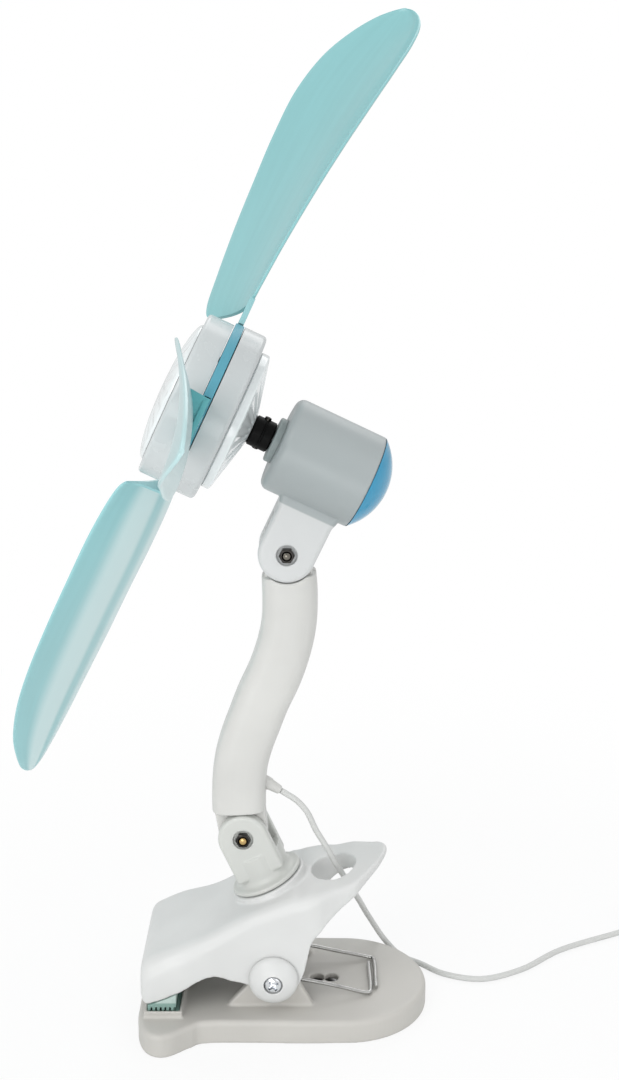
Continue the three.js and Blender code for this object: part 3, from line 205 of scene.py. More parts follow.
class Value:
    """A number that varies over a surface. Arithmetic on it adds Math nodes."""

    def __init__(self, finish, socket):
        self.finish, self.socket = finish, socket

    def maths(self, operation, first, second):
        return self.finish.node("ShaderNodeMath", {"operation": operation}, {0: first, 1: second})[0]

    def __add__(self, other):
        return self.maths("ADD", self, other)

    def __rsub__(self, other):
        return self.maths("SUBTRACT", other, self)

    def __mul__(self, other):
        return self.maths("MULTIPLY", self, other)

    __radd__, __rmul__ = __add__, __mul__


class Finish:
    """One procedural material around a Principled shader."""

    def __init__(self, name, colour, roughness, **uniform):
        self.material = bpy.data.materials.new(name)
        self.material.use_nodes = True
        self.tree = self.material.node_tree
        self.shader = self.tree.nodes["Principled BSDF"]
        self.colour = colour
        self.material.diffuse_color = colour
        self.put("Base Color", colour)
        self.put("Roughness", roughness)
        for socket, value in uniform.items():
            self.put(socket.replace("_", " "), value)

    def fill(self, socket, value):
        """Gives a socket its number or colour, or links what varies to it."""
        if isinstance(value, Value):
            self.tree.links.new(value.socket, socket)
        else:
            socket.default_value = value

    def put(self, socket, value):
        self.fill(self.shader.inputs[socket], value)

    def node(self, kind, settings, inputs):
        """Adds a node: its settings first, then values or links. Returns its outputs."""
        made = self.tree.nodes.new(kind)
        for key, value in settings.items():
            setattr(made, key, value)
        for key, value in inputs.items():
            self.fill(made.inputs[key], value)
        return [Value(self, out) for out in made.outputs]

    def place(self, stretch=(1, 1, 1), turn=(0, 0, 0), shift=(0, 0, 0)):
        """Object coordinates, moved, turned and stretched."""
        at = self.node("ShaderNodeTexCoord", {}, {})[3]
        inputs = {"Vector": at, "Location": shift, "Rotation": turn, "Scale": stretch}
        return self.node("ShaderNodeMapping", {}, inputs)[0]

    def uv(self, stretch=(1, 1, 1)):
        at = self.node("ShaderNodeTexCoord", {}, {})[2]
        return self.node("ShaderNodeMapping", {}, {"Vector": at, "Scale": stretch})[0]

    def noise(self, at, scale, detail=2.0, roughness=0.5):
        inputs = {"Vector": at, "Scale": scale, "Detail": detail, "Roughness": roughness}
        return self.node("ShaderNodeTexNoise", {}, inputs)[0]

    def haze(self):
        return self.noise(self.place((1, 1, 0.5)), 140, 4, 0.6)

    def part(self, at, axis):
        return self.node("ShaderNodeSeparateXYZ", {}, {0: at})["XYZ".index(axis)]

    def between(self, value, low, high):
        """0 below low, 1 above high, smooth between."""
        inputs = {"Value": value, "From Min": low, "From Max": high}
        settings = {"interpolation_type": "SMOOTHSTEP"}
        return self.node("ShaderNodeMapRange", settings, inputs)[0]

    def mix(self, factor, first, second):
        """A colour between two colours: inputs 6 and 7 and output 2 are the node's colour sockets."""
        return self.node("ShaderNodeMix", {"data_type": "RGBA"}, {0: factor, 6: first, 7: second})[2]

    def relief(self, height, depth, strength=1.0):
        """Bump of a depth in millimetres."""
        inputs = {"Height": height, "Distance": depth * MM, "Strength": strength}
        self.put("Normal", self.node("ShaderNodeBump", {}, inputs)[0])
        return self

    def vary(self, share, tones, gloss):
        """Colour between two tones of the own colour, and a gloss that varies."""
        self.put("Base Color", self.mix(share, *[shade(self.colour, tone) for tone in tones]))
        self.put("Roughness", gloss)


def moulded(name, colour, roughness=0.36, grain=0.012, mottle=0.035, **uniform):
    """Moulded plastic: slow flow marks in the colour, handling haze in the gloss, a fine skin."""
    f = Finish(name, colour, roughness, **uniform)
    at = f.place()
    flow = f.between(f.noise(at, 28, 3), 0.3, 0.7)
    f.vary(flow, (1 - mottle, 1 + mottle), roughness - 0.07 + f.haze() * 0.14)
    return f.relief(f.noise(at, 1500, 2) + f.noise(at, 130, 2) * 2.5, grain, 0.5)


def soft_blade(name, colour, painted_sheen=0.0):
    """Soft sheet of the blades: faint lengthwise ripples, also painted into the colour as reflection stripes;
    a paler tone along both edges; and, where asked, painted highlight stripes across the sheet.
    """
    f = Finish(name, colour, 0.34, Coat_Weight=0.35, Coat_Roughness=0.16, Specular_IOR_Level=0.5)
    # The lengthwise stripes are a bump, and in the colour a painted reflection.
    ripples_and_painted_reflection = f.noise(f.uv((1.2, 7, 1)), 2.2, 2)
    across = f.part(f.uv(), "Y")
    rim = f.between(across, 0.975, 0.998) + (1 - f.between(across, 0.004, 0.02))
    body = f.mix(f.between(ripples_and_painted_reflection, 0.3, 0.7), shade(colour, 0.98), shade(colour, 1.025))
    # Painted highlight, when asked: a pale stripe across the hollow of the sheet and a paler one along its
    # trailing edge, standing for light off the curved sheet.
    if painted_sheen:
        hollow = f.between(across, 0.44, 0.54) * (1 - f.between(across, 0.7, 0.86))
        edge = 1 - f.between(across, 0.26, 0.38)
        body = f.mix((hollow + edge * 0.8) * painted_sheen, body, paint(203, 227, 228))
    f.put("Base Color", f.mix(rim * 0.2, body, shade(colour, 1.35)))
    f.put("Roughness", 0.27 + f.noise(f.uv((3, 24, 1)), 3, 3) * 0.14)
    return f.relief(ripples_and_painted_reflection * 1.2 + f.noise(f.place(), 900, 2) * 0.2, 0.012, 0.25)


def two_tone(name, colour, second, turn, shift, low, high):
    """One moulded piece in two tones that meet where the turned and shifted X runs from low to high."""
    f = Finish(name, colour, 0.34)
    at = f.part(f.place(turn=turn, shift=shift), "X")
    tone = f.mix(f.between(at, low * MM, high * MM), second, colour)
    flow = f.between(f.noise(f.place(), 28, 3), 0.3, 0.7)
    f.put("Base Color", f.mix(flow * 0.05, tone, (0.4, 0.42, 0.43, 1)))
    f.put("Roughness", 0.28 + f.haze() * 0.14)
    return f.relief(f.noise(f.place(), 1500, 2), 0.012, 0.5)


def drawn_metal(name, colour, roughness, stretch, scale=900, depth=0.01, **uniform):
    """Metal with marks along one direction and a thin uneven tarnish."""
    f = Finish(name, colour, roughness, Metallic=1.0, **uniform)
    marks = f.noise(f.place(stretch), scale, 3, 0.6)
    tarnish = f.noise(f.place(), 220, 3)
    f.vary(f.between(tarnish, 0.45, 0.8), (1, 0.72), roughness - 0.06 + marks * 0.14)
    return f.relief(marks, depth, 0.5)


def rubbery(name, colour, roughness=0.62):
    """Matt rubber with rubbed-off chalky patches."""
    f = Finish(name, colour, roughness)
    worn = f.noise(f.place(), 260, 4, 0.6)
    f.vary(f.between(worn, 0.4, 0.75), (1, 1.16), roughness - 0.08 + worn * 0.18)
    return f.relief(f.noise(f.place(), 2200, 2), 0.02, 0.6)


def wound(name, colour, turn, pitch):
    """Enamelled wire in close turns, as waves of one wire's pitch."""
    f = Finish(name, colour, 0.3, Metallic=1.0)
    settings = {"wave_type": "BANDS", "bands_direction": "X", "wave_profile": "SIN"}
    inputs = {"Vector": f.place(turn=turn), "Scale": 1 / (pitch * MM) / 20, "Distortion": 0.6}
    rows = f.node("ShaderNodeTexWave", settings, inputs)[1]
    # The colour drops to half in the grooves between turns: painted shade.
    f.vary(rows, (0.5, 1), 0.26 + rows * 0.12)
    return f.relief(rows, 0.12, 0.8)


def corded(name, colour):
    """Smooth vinyl cord: a slight dulling and rub marks along it."""
    f = Finish(name, colour, 0.42)
    rub = f.noise(f.place(), 300, 3)
    f.vary(rub, (0.93, 1.05), 0.36 + rub * 0.14)
    return f.relief(f.noise(f.place(), 1200, 2), 0.02, 0.4)


def film(name, colour):
    """Glossy tinted cap."""
    f = Finish(name, colour, 0.2, Coat_Weight=0.25, Coat_Roughness=0.06, IOR=1.4)
    f.vary(f.noise(f.place(), 60, 2), (0.94, 1.06), 0.09 + f.noise(f.place(), 350, 4) * 0.08)
    return f.relief(f.noise(f.place(), 900, 2), 0.006, 0.4)


white = moulded("satin_white", paint(209, 210, 209))
# The arm and its grommet are white plastic made darker and warmer than it is: painted shade.
arm_white_painted_shade = moulded("arm_white_painted_shade", paint(200, 200, 197))
stalk_white = moulded("stalk_white", paint(194, 196, 192), 0.33)
base_white = moulded("base_off_white", paint(188, 186, 181), 0.42, 0.02, 0.03)
barrel_grey = two_tone(
    "barrel_grey_white", paint(159, 166, 167), paint(202, 204, 204), (0, rad(64.5), 0), (-198.56 * MM, 0, 0),
    -17.9, -17.2,
)
satin, frosted = {"Coat_Weight": 0.2, "Coat_Roughness": 0.15}, {"Coat_Weight": 0.6, "Coat_Roughness": 0.06}
hub_shell = moulded("hub_shell", paint(190, 195, 196), 0.26, 0.006, 0.03, **satin)
hub_front = moulded("hub_front", paint(196, 202, 203), 0.26, 0.006, 0.03, **satin)
hub_clear = moulded("hub_frosted", paint(226, 232, 233), 0.14, 0.006, 0.03, **frosted)
collar_grey = moulded("collar_grey", paint(144, 154, 154), 0.45, 0.02)
coupler_black = moulded("coupler_black", paint(5, 5, 5), 0.5, 0.02, 0.2, Specular_IOR_Level=0.12)
ring_teal = moulded("ring_teal", paint(84, 156, 175), 0.4, 0.015, 0.05)
# The three blades are one teal sheet in three tones, one for how each is lit: the near one paler, a painted
# reflection where it is seen edge-on; the top one darker, painted shade; the low one in between, with painted
# highlight stripes.
blade_near_painted_reflection = soft_blade("blade_soft_near_painted_reflection", paint(170, 199, 201))
blade_top_painted_shade = soft_blade("blade_soft_top_painted_shade", paint(133, 188, 191))
blade_low_painted_highlight = soft_blade("blade_soft_low_painted_highlight", paint(146, 198, 202), 0.9)
# The necks and webs are the blades' teal plastic. The near blade's take a deeper teal: painted shade under
# its root.
neck_pale = moulded("neck_pale", paint(148, 198, 202), 0.38, 0.01, 0.03)
neck_teal_painted_shade = moulded("neck_teal_painted_shade", paint(92, 172, 178), 0.38, 0.01, 0.03)
dome_blue = film("cap_blue", paint(52, 146, 184))
pad_teal = rubbery("pad_rubber_teal", paint(122, 152, 144))
pad_crown = two_tone(
    "pad_rubber_crown", paint(172, 190, 184), paint(122, 152, 144), (0, rad(90), 0), (0, 0, 0), 13.9, 14.6
)
cord_grey = corded("cord_pale_grey", paint(201, 202, 200))
chrome = drawn_metal("chrome_screw", paint(228, 230, 233), 0.1, (1, 1, 1), 700, 0.004)
spring_wire = drawn_metal("spring_wire", paint(184, 184, 182), 0.2, (1, 1, 1), 900, 0.008)
steel = drawn_metal("plain_steel", paint(190, 192, 194), 0.3, (1, 1, 4))
nut_steel = drawn_metal("nut_steel", paint(118, 114, 106), 0.24, (1, 1, 1), 1200)
dark_steel = drawn_metal("dark_steel", paint(58, 56, 54), 0.3, (1, 1, 1), 1200)
core_steel = drawn_metal("core_sheets", paint(120, 121, 124), 0.45, (24, 1, 24), 60, 0.05)
magnet_black = moulded("magnet_black", paint(58, 58, 62), 0.55, 0.03, 0.12)
turned_brass = drawn_metal("turned_brass", paint(196, 166, 112), 0.24, (1, 1, 1), 1000)
wire_copper = wound("winding_copper", paint(186, 108, 66), (0, rad(25), 0), 0.5)
bar_copper = drawn_metal("commutator_copper", paint(196, 128, 86), 0.3, (1, 1, 1), 900)

# Nodes of the frame that stay as they are, by finish.
KEPT = (
    (steel, "clip_nut swivel_washer swivel_screw arm_screw motor_can motor_shaft"),
    (steel, "hub_nut hub_screw_a hub_screw_b hub_screw_c"),
    (magnet_black, "magnet_ring"),
    (coupler_black, "motor_end_cap"),
    (turned_brass, "front_bush rear_bush"),
    (core_steel, "armature_core"),
    (wire_copper, "winding_front winding_rear"),
    (bar_copper, "commutator"),
)
for finish, nodes in KEPT:
    for node in nodes.split():
        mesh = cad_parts[node].data
        mesh.materials.clear()
        mesh.materials.append(finish.material)


# ---- making meshes
def solid(name, points, faces, place=None):
    """A mesh object from millimetre points, closed and facing out."""
    at = [place @ Vector(p) if place else Vector(p) for p in points]
    mesh = bpy.data.meshes.new(name)
    mesh.from_pydata([p * MM for p in at], [], faces)
    work = bmesh.new()
    work.from_mesh(mesh)
    bmesh.ops.remove_doubles(work, verts=work.verts, dist=1e-6)
    bmesh.ops.recalc_face_normals(work, faces=work.faces)
    work.to_mesh(mesh)
    work.free()
    return added(name, mesh)


def skin(name, rings, place=None):
    """Closed body through rings of equal count, with flat ends."""
    n = len(rings[0])
    faces = []
    for i in range(len(rings) - 1):
        for k in range(n):
            a, b = i * n + k, i * n + (k + 1) % n
            faces.append((a, b, b + n, a + n))
    last = (len(rings) - 1) * n
    faces += [tuple(range(n)), tuple(last + k for k in range(n))]
    return solid(name, [p for ring in rings for p in ring], faces, place)


def turned(name, profile, place=None, steps=72):
    """A revolve about Z of (radius, height) points; a first point met again closes the loop."""
    closed = profile[0] == profile[-1]
    line = profile[:-1] if closed else profile
    points, rows = [], []
    for r, z in line:
        count = 1 if r < 1e-6 else steps
        rows.append((len(points), count))
        for k in range(count):
            a = 2 * math.pi * k / steps
            points.append((r * math.cos(a), r * math.sin(a), z))
    faces = []
    pairs = list(zip(rows, rows[1:])) + ([(rows[-1], rows[0])] if closed else [])
    for (a, na), (b, nb) in pairs:
        for k in range(steps):
            k2 = (k + 1) % steps
            if na == 1 and nb == 1:
                break
            if na == 1:
                faces.append((a, b + k, b + k2))
            elif nb == 1:
                faces.append((a + k, a + k2, b))
            else:
                faces.append((a + k, a + k2, b + k2, b + k))
    return solid(name, points, faces, place)


def plate(name, outline, low, high, place=None, axis="Z"):
    """An outline with thickness, along Z, or drawn in X and Z and thick along Y."""
    turn = (lambda x, y, h: (x, y, h)) if axis == "Z" else (lambda x, y, h: (x, h, y))
    rings = [[turn(x, y, h) for x, y in outline] for h in (low, high)]
    return skin(name, rings, place)


def block(name, x0, x1, y0, y1, z0, z1, place=None):
    return plate(name, [(x0, y0), (x1, y0), (x1, y1), (x0, y1)], z0, z1, place)


def rod(name, r, z0, z1, place=None, steps=48):
    return turned(name, [(0, z0), (r, z0), (r, z1), (0, z1)], place, steps)


def shift(x, y, z):
    return Matrix.Translation((x, y, z))


def turning(degrees, axis):
    return Matrix.Rotation(rad(degrees), 4, axis)


def along_y(x, z):
    """Stands what was drawn about Z along Y at that spot."""
    return shift(x, 0, z) @ ALONG_Y


ALONG_Y = turning(-90, "X")


def evaluated(made):
    """The mesh that an object's modifiers give."""
    return bpy.data.meshes.new_from_object(made.evaluated_get(bpy.context.evaluated_depsgraph_get()))


def metres(place):
    """A placing in millimetres as one in metres."""
    moved = place.copy()
    moved.translation *= MM
    return moved


def settle(made):
    """Turns what the modifiers give into the object's own mesh."""
    mesh = evaluated(made)
    made.modifiers.clear()
    old, made.data = made.data, mesh
    bpy.data.meshes.remove(old)
    return made


def combine(made, operation, *tools):
    for tool in tools:
        step = made.modifiers.new("combine", "BOOLEAN")
        step.operation, step.object, step.solver = operation, tool, "EXACT"
    settle(made)
    for tool in tools:
        bpy.data.objects.remove(tool)
    return made


def cut(made, *tools):
    return combine(made, "DIFFERENCE", *tools)


def weld(made, *tools):
    return combine(made, "UNION", *tools)


def mould(made, voxel, passes=4, keep=1.0):
    """Runs the creases of a body together as in a mould: one even skin, eased."""
    step = made.modifiers.new("skin", "REMESH")
    step.mode, step.voxel_size = "VOXEL", voxel * MM
    ease = made.modifiers.new("ease", "SMOOTH")
    ease.factor, ease.iterations = 0.5, passes
    if keep < 1:
        less = made.modifiers.new("less", "DECIMATE")
        less.ratio = keep
    return settle(made)


def soften(made, width, segments=2, angle=32):
    step = made.modifiers.new("edge", "BEVEL")
    step.width, step.segments, step.limit_method, step.angle_limit = width * MM, segments, "ANGLE", rad(angle)
    step.use_clamp_overlap = True
    return settle(made)


# Edges that turn by more than this many degrees stay sharp: on turned pieces, and none on moulded ones.
TURNED, MOULDED = 28, 180


def done(made, name, finish, body, *nodes, angle=35, at=None):
    """Puts a piece in its place, names it, gives it its finish, and says what it rides on and stands for."""
    if at is not None:
        made.data.transform(metres(at))
    made.name = made.data.name = name
    if made.type == "MESH":
        made.data.shade_smooth()
        if angle < 180:
            made.data.set_sharp_from_angle(angle=rad(angle))
    made.data.materials.clear()
    made.data.materials.append(finish.material)
    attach(made, body)
    if nodes:
        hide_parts(*nodes)
    return made


# ---- node trees that repeat or follow
def tree_of(name, kinds, **inputs):
    """A geometry tree with its named inputs; returns the tree, the way in, the way out and the nodes."""
    tree = bpy.data.node_groups.new(name, "GeometryNodeTree")
    tree.interface.new_socket("Geometry", in_out="INPUT", socket_type="NodeSocketGeometry")
    for label, value in inputs.items():
        kind = "NodeSocketInt" if isinstance(value, int) else "NodeSocketFloat"
        tree.interface.new_socket(label, in_out="INPUT", socket_type=kind).default_value = value
    tree.interface.new_socket("Finish", in_out="INPUT", socket_type="NodeSocketMaterial")
    tree.interface.new_socket("Geometry", in_out="OUTPUT", socket_type="NodeSocketGeometry")
    return tree, *[tree.nodes.new(kind) for kind in ("NodeGroupInput", "NodeGroupOutput", *kinds)]


def wire_up(tree, *pairs):
    for start, end in pairs:
        tree.links.new(start, end)


def finish_off(tree, came, way_in, way_out):
    """Every tree ends by making its instances real and giving them their finish."""
    real = tree.nodes.new("GeometryNodeRealizeInstances")
    coat = tree.nodes.new("GeometryNodeSetMaterial")
    wire_up(
        tree, (came, real.inputs[0]), (real.outputs[0], coat.inputs["Geometry"]),
        (way_in.outputs["Finish"], coat.inputs["Material"]), (coat.outputs[0], way_out.inputs[0]),
    )
    return tree


def repeat_tree(name, round_axis):
    """Copies of the piece: turned about its Z axis, or stepped along a straight line."""
    tree, way_in, way_out, points, put, index, amount, vector = tree_of(name, (
        "GeometryNodeMeshLine", "GeometryNodeInstanceOnPoints", "GeometryNodeInputIndex", "ShaderNodeMath",
        "ShaderNodeCombineXYZ",
    ), Count=3, Start=0.0, Step=0.0)
    points.mode, amount.operation = "OFFSET", "MULTIPLY_ADD"
    wire_up(
        tree, (way_in.outputs["Count"], points.inputs["Count"]), (points.outputs[0], put.inputs["Points"]),
        (way_in.outputs["Geometry"], put.inputs["Instance"]), (index.outputs[0], amount.inputs[0]),
        (way_in.outputs["Step"], amount.inputs[1]), (way_in.outputs["Start"], amount.inputs[2]),
        (amount.outputs[0], vector.inputs["Z" if round_axis else "X"]),
    )
    points.inputs["Offset"].default_value = (0, 0, 0)
    if round_axis:
        wire_up(tree, (vector.outputs[0], put.inputs["Rotation"]))
        return finish_off(tree, put.outputs[0], way_in, way_out)
    move = tree.nodes.new("GeometryNodeTranslateInstances")
    move.inputs["Local Space"].default_value = False
    wire_up(tree, (put.outputs[0], move.inputs["Instances"]), (vector.outputs[0], move.inputs["Translation"]))
    return finish_off(tree, move.outputs[0], way_in, way_out)


def wire_tree():
    """A round wire along the curve."""
    tree, way_in, way_out, profile, tube = tree_of("wire_along", (
        "GeometryNodeCurvePrimitiveCircle", "GeometryNodeCurveToMesh",
    ), Radius=0.001, Sides=16)
    tube.inputs["Fill Caps"].default_value = True
    wire_up(
        tree, (way_in.outputs["Radius"], profile.inputs["Radius"]),
        (way_in.outputs["Sides"], profile.inputs["Resolution"]),
        (way_in.outputs["Geometry"], tube.inputs["Curve"]),
        (profile.outputs[0], tube.inputs["Profile Curve"]),
    )
    return finish_off(tree, tube.outputs[0], way_in, way_out)


ROUND_AXIS = repeat_tree("copies_round_axis", True)
ALONG_LINE = repeat_tree("copies_along_line", False)
WIRE_ALONG = wire_tree()


def grown(made, tree, finish, **inputs):
    """Runs a tree on a piece and keeps the mesh that it gives."""
    step = made.modifiers.new("grow", "NODES")
    step.node_group = tree
    sockets = {s.name: s.identifier for s in tree.interface.items_tree if s.in_out == "INPUT"}
    for label, value in inputs.items():
        step[sockets[label]] = value
    step[sockets["Finish"]] = finish.material
    mesh, name = evaluated(made), made.name
    bpy.data.objects.remove(made)
    return added(name, mesh)


# ---- where the groups sit
SEAT_TILT, HEAD_TILT = rad(24.5), rad(25.5)
POST_PIVOT = 21.3
seat = shift(-2.45, 0, 51.5) @ Matrix.Rotation(-SEAT_TILT, 4, "Y")
lower_pivot = seat @ Vector((0, 0, POST_PIVOT))
ARM_OVER, ARM_UP = 16.6, 108.9
upper_pivot = lower_pivot + Vector((ARM_OVER, 0, ARM_UP))
head_up = Vector((math.sin(HEAD_TILT), 0, math.cos(HEAD_TILT)))
head_rear = Vector((math.cos(HEAD_TILT), 0, -math.sin(HEAD_TILT)))
head = Matrix((head_up, (0, -1, 0), head_rear)).transposed().to_4x4()
PIVOT_BACK, PIVOT_DOWN = 48.5, 34
head.translation = upper_pivot - head_rear * PIVOT_BACK + head_up * PIVOT_DOWN
CLIP_Z = 22


# ---- blades
BLADE_ROOT = 38
BLADE_START, BLADE_APART = 10.2, 120
BLADE_HALF = 0.62
RING_HALF = 1.6
# Distance from the axis, then how far each edge lies onwards: the plan of a blade, the same for all.
PLAN = [
    (38, 6.6, -16), (39.4, 7.9, -18), (44, 9, -20), (60, 11.6, -25.6), (85, 13.5, -31.4), (110, 13.9, -33),
    (135, 12.2, -31), (158, 8.8, -27.4), (178, 4.4, -22.8), (192, -0.6, -18.6), (200, -4.8, -15.4),
    (203.6, -8, -13), (204.8, -10, -11.2),
]
# How far forward the two edges of each blade lie where it hangs: near, top and low blade.
HANG = {
    "a": ((9.9, 10.7, 11.7, 14.1, 15.3, 15.3, 13.8, 11.2, 7.9, 5, 3.2, 2.1, 1.5),
          (-0.4, -0.6, -1, -2, -2.1, -1.4, 0.2, 1.8, 2.6, 2.6, 2, 1.5, 1.3)),
    "b": ((11, 12.2, 13.6, 15.1, 16.9, 18.1, 19, 18.4, 14.2, 7.4, 1.2, -3.6, -6.4),
          (0, -0.2, -0.5, -1.7, -4.2, -7.1, -10.2, -13, -15, -15, -12.8, -10.4, -8)),
    "c": ((13.6, 14.8, 16, 17.6, 18.2, 18.4, 18, 16.3, 12.7, 8.2, 5.2, 3, 2),
          (-1.6, -2.2, -3, -4, -4.3, -3.9, -3.6, -3, -2.4, -1.6, -0.8, 0.2, 1)),
}
SECTION_BEND = 2.05
# The share of its reach that each blade keeps when bowed, and how far its trailing edge is tucked in.
REACH = {"a": 1, "b": 0.978, "c": 1}
TUCK = {"a": 0.16, "b": 0, "c": 0}
BLADE_LONG = 167


def blade_edge(which, lifts, reach, tuck=0):
    made = []
    for row, lift in zip(PLAN, lifts):
        across = row[which] * (1 - tuck * smoothstep(row[0], 44, 85) * (1 - smoothstep(row[0], 160, 195)))
        made.append((BLADE_ROOT + (row[0] - BLADE_ROOT) * reach, across, lift))
    return drawn(made, 10)


def blade_ring_at(front, back, chord):
    """Outline of a thin sheet between two edge points, and how far each point is across it."""
    r = (front.x + back.x) / 2
    run, rise = front.y - back.y, front.z - back.z
    fore, aft = [], []
    for k in range(chord + 1):
        v = 0.5 - 0.5 * math.cos(math.pi * k / chord)
        here, ahead = [Vector((r, back.y + run * w, back.z + rise * w**SECTION_BEND)) for w in (v, v + 0.02)]
        t = (ahead - here).normalized()
        rim = min(v, 1 - v) * max(abs(run), abs(rise))
        n = Vector((0, -t.z, t.y)) * BLADE_HALF * min(1, 0.45 + 0.55 * math.sqrt(rim))
        fore.append((here + n, v))
        aft.append((here - n, v))
    return fore + aft[::-1]


def blade_sheet(name, hang, reach, tuck):
    front, back = blade_edge(1, hang[0], reach), blade_edge(2, hang[1], reach, tuck)
    rings, marks = [], []
    for i, (a, b) in enumerate(zip(front, back)):
        section = blade_ring_at(a, b, 26)
        rings.append([p for p, _ in section])
        marks += [((a.x - BLADE_ROOT) / BLADE_LONG, v) for _, v in section]
    made = skin(name, rings)
    layer = made.data.uv_layers.new(name="along_and_across")
    for loop, spot in zip(made.data.loops, layer.data):
        spot.uv = marks[loop.vertex_index]
    return made


def blade_web(name, hang):
    """Wall that closes the root of the sheet down to the tongue."""
    low, high = Vector((0, -16, hang[1][0])), Vector((0, 6.6, hang[0][0]))
    curve = []
    for k in range(13):
        v = k / 12
        curve.append((low.y + (high.y - low.y) * v, low.z + (high.z - low.z) * v**SECTION_BEND - 0.2))
    outline = [(-16.6, 0), *curve, (3.6, 7.6), (3, 0)]
    return plate(name, outline, 37.9, 38.9, Matrix(((0, 0, 1), (1, 0, 0), (0, 1, 0))).to_4x4())


def blade_neck():
    """Tongue in the ring with its pin hole."""
    neck = plate("neck", [
        (16, -8), (16, 8), (24, 8), (25.6, 7.4), (26.4, 5), (26.6, 3), (38.4, 3), (39.4, 1), (40, -6),
        (39.8, -11), (39.2, -15), (38.4, -17), (26.6, -17), (26.2, -10), (25.4, -8.4), (24, -8),
    ], -1, 1)
    cut(neck, rod("pin_hole", 3.2, -5, 5, shift(20, 0, 0)))
    return soften(neck, 0.2, 2, 50)


# Blade frame: X outwards, Y the way the angle grows, Z forward; the head frame has Z to the rear.
first_blade = Matrix(((0, 1, 0), (1, 0, 0), (0, 0, -1))).to_4x4()


def blade_turn(i):
    return turning(-(BLADE_START + BLADE_APART * i), "Z") @ first_blade


for i, letter in enumerate("abc"):
    sheet = blade_sheet("sheet", HANG[letter], REACH[letter], TUCK[letter])
    at = head @ blade_turn(i)
    soft = {"a": blade_near_painted_reflection, "b": blade_top_painted_shade, "c": blade_low_painted_highlight}[letter]
    done(sheet, f"blade_{letter}_sheet", soft, "rotor", f"blade_{letter}", angle=50, at=at)
    if letter != "b":
        web = blade_web("web", HANG[letter])
        # The near blade's web takes the deeper teal of painted shade.
        done(web, f"blade_{letter}_web", neck_teal_painted_shade if letter == "a" else neck_pale, "rotor", at=at)
# The near blade's neck takes the deeper teal of painted shade.
for name, finish, first, count in (("near", neck_teal_painted_shade, 0, 1), ("others", neck_pale, 1, 2)):
    neck = blade_neck()
    neck.data.transform(first_blade)
    start = -rad(BLADE_START + BLADE_APART * first)
    neck = grown(neck, ROUND_AXIS, finish, Count=count, Start=start, Step=-rad(BLADE_APART))
    done(neck, f"blade_neck_{name}", finish, "rotor", at=head)


# ---- hub
HUB_R, RING_R, BORE_R = 30, 31, 3.6
FLUTES, FLUTE_EDGE = 24, 1.2
GRUB_Z, GRUB_R, COUPLER_R = 22.45, 1.2, 5.5


def fluted(name, profile, low, high, depth):
    """A revolve whose stretch between two radii is cut into shallow flutes along the axis."""
    made = turned(name, profile, None, FLUTES * 9)
    for v in made.data.vertices:
        r = math.hypot(v.co.x, v.co.y) / MM
        share = smoothstep(r, low, low + FLUTE_EDGE) * (1 - smoothstep(r, high - FLUTE_EDGE, high))
        wave = abs(math.cos(FLUTES * math.atan2(v.co.y, v.co.x) / 2))
        v.co.z -= math.copysign(depth * MM, v.co.z) * share * (1 - wave)
    return made


rear_shell = turned("rear_shell", [
    (BORE_R, 1.9), (6.5, 1.9), (6.5, 8.4), (28.6, 8.4), (29, 8), (29, 1.9), (RING_R, 1.9), (RING_R, 8.2),
    *arc(RING_R - 1.5, 8.9, 1.5, 0, 90, 6), (27, 10.45), (26.4, 10.2), (BORE_R, 10.2), (BORE_R, 1.9),
], head, 112)
done(rear_shell, "rear_shell_turned", hub_shell, "rotor", "rear_shell", angle=TURNED)

step_at = [(BORE_R, 10.6), (25.1, 10.6), (25.6, 11.1), *arc(24.9, 13.2, 0.7, 0, 90, 5)]
cone = [(25.2 - 19 * i / 24, 14 + 4.5 * i / 24) for i in range(1, 25)]
flange = fluted("flange", [*step_at, *cone, (BORE_R, 18.5), (BORE_R, 10.6)], 8, 24.4, 0.55)
done(flange, "rear_flange_fluted", hub_clear, "rotor", "rear_flange", angle=TURNED, at=head)

front_shell = turned("front_shell", [
    (BORE_R, -9.3), (28, -9.3), (28, -1.9), (HUB_R, -1.9), (HUB_R, -9.9),
    *[(x, -y) for x, y in arc(HUB_R - 1.3, 10, 1.3, 0, 90, 6)], (26, -11.3), (BORE_R, -11.3), (BORE_R, -9.3),
], head, 112)
done(front_shell, "front_shell_turned", hub_front, "rotor", "front_shell", angle=TURNED)

crown = [(25.5 * math.sin(rad(a)), -11.5 - 4.3 * math.cos(rad(a))) for a in range(90, -1, -5)]
inner = [(23.9, -11.5), (17.8, -12.8), (10.2, -13.6), (0, -13.9)]
cap = fluted("cap", [*inner[::-1], (25.5, -11.5), *crown[1:-1], (0, -15.8)], 12, 24.6, 0.5)
done(cap, "front_cap_fluted", hub_clear, "rotor", "front_cap", angle=TURNED, at=head)

ring = turned("ring", [
    (27, -RING_HALF), *[(x, -y) for x, y in arc(RING_R - 0.4, RING_HALF - 0.4, 0.4, 90, 0, 4)],
    *arc(RING_R - 0.4, RING_HALF - 0.4, 0.4, 0, 90, 4), (27, RING_HALF), (27, -RING_HALF),
], None, 112)
cut(ring, *[block("slot", 20, 40, -17.4, 3.4, -1.15, 1.15, blade_turn(i)) for i in range(3)])
done(ring, "blade_ring_turned", ring_teal, "rotor", "blade_ring", angle=TURNED, at=head)

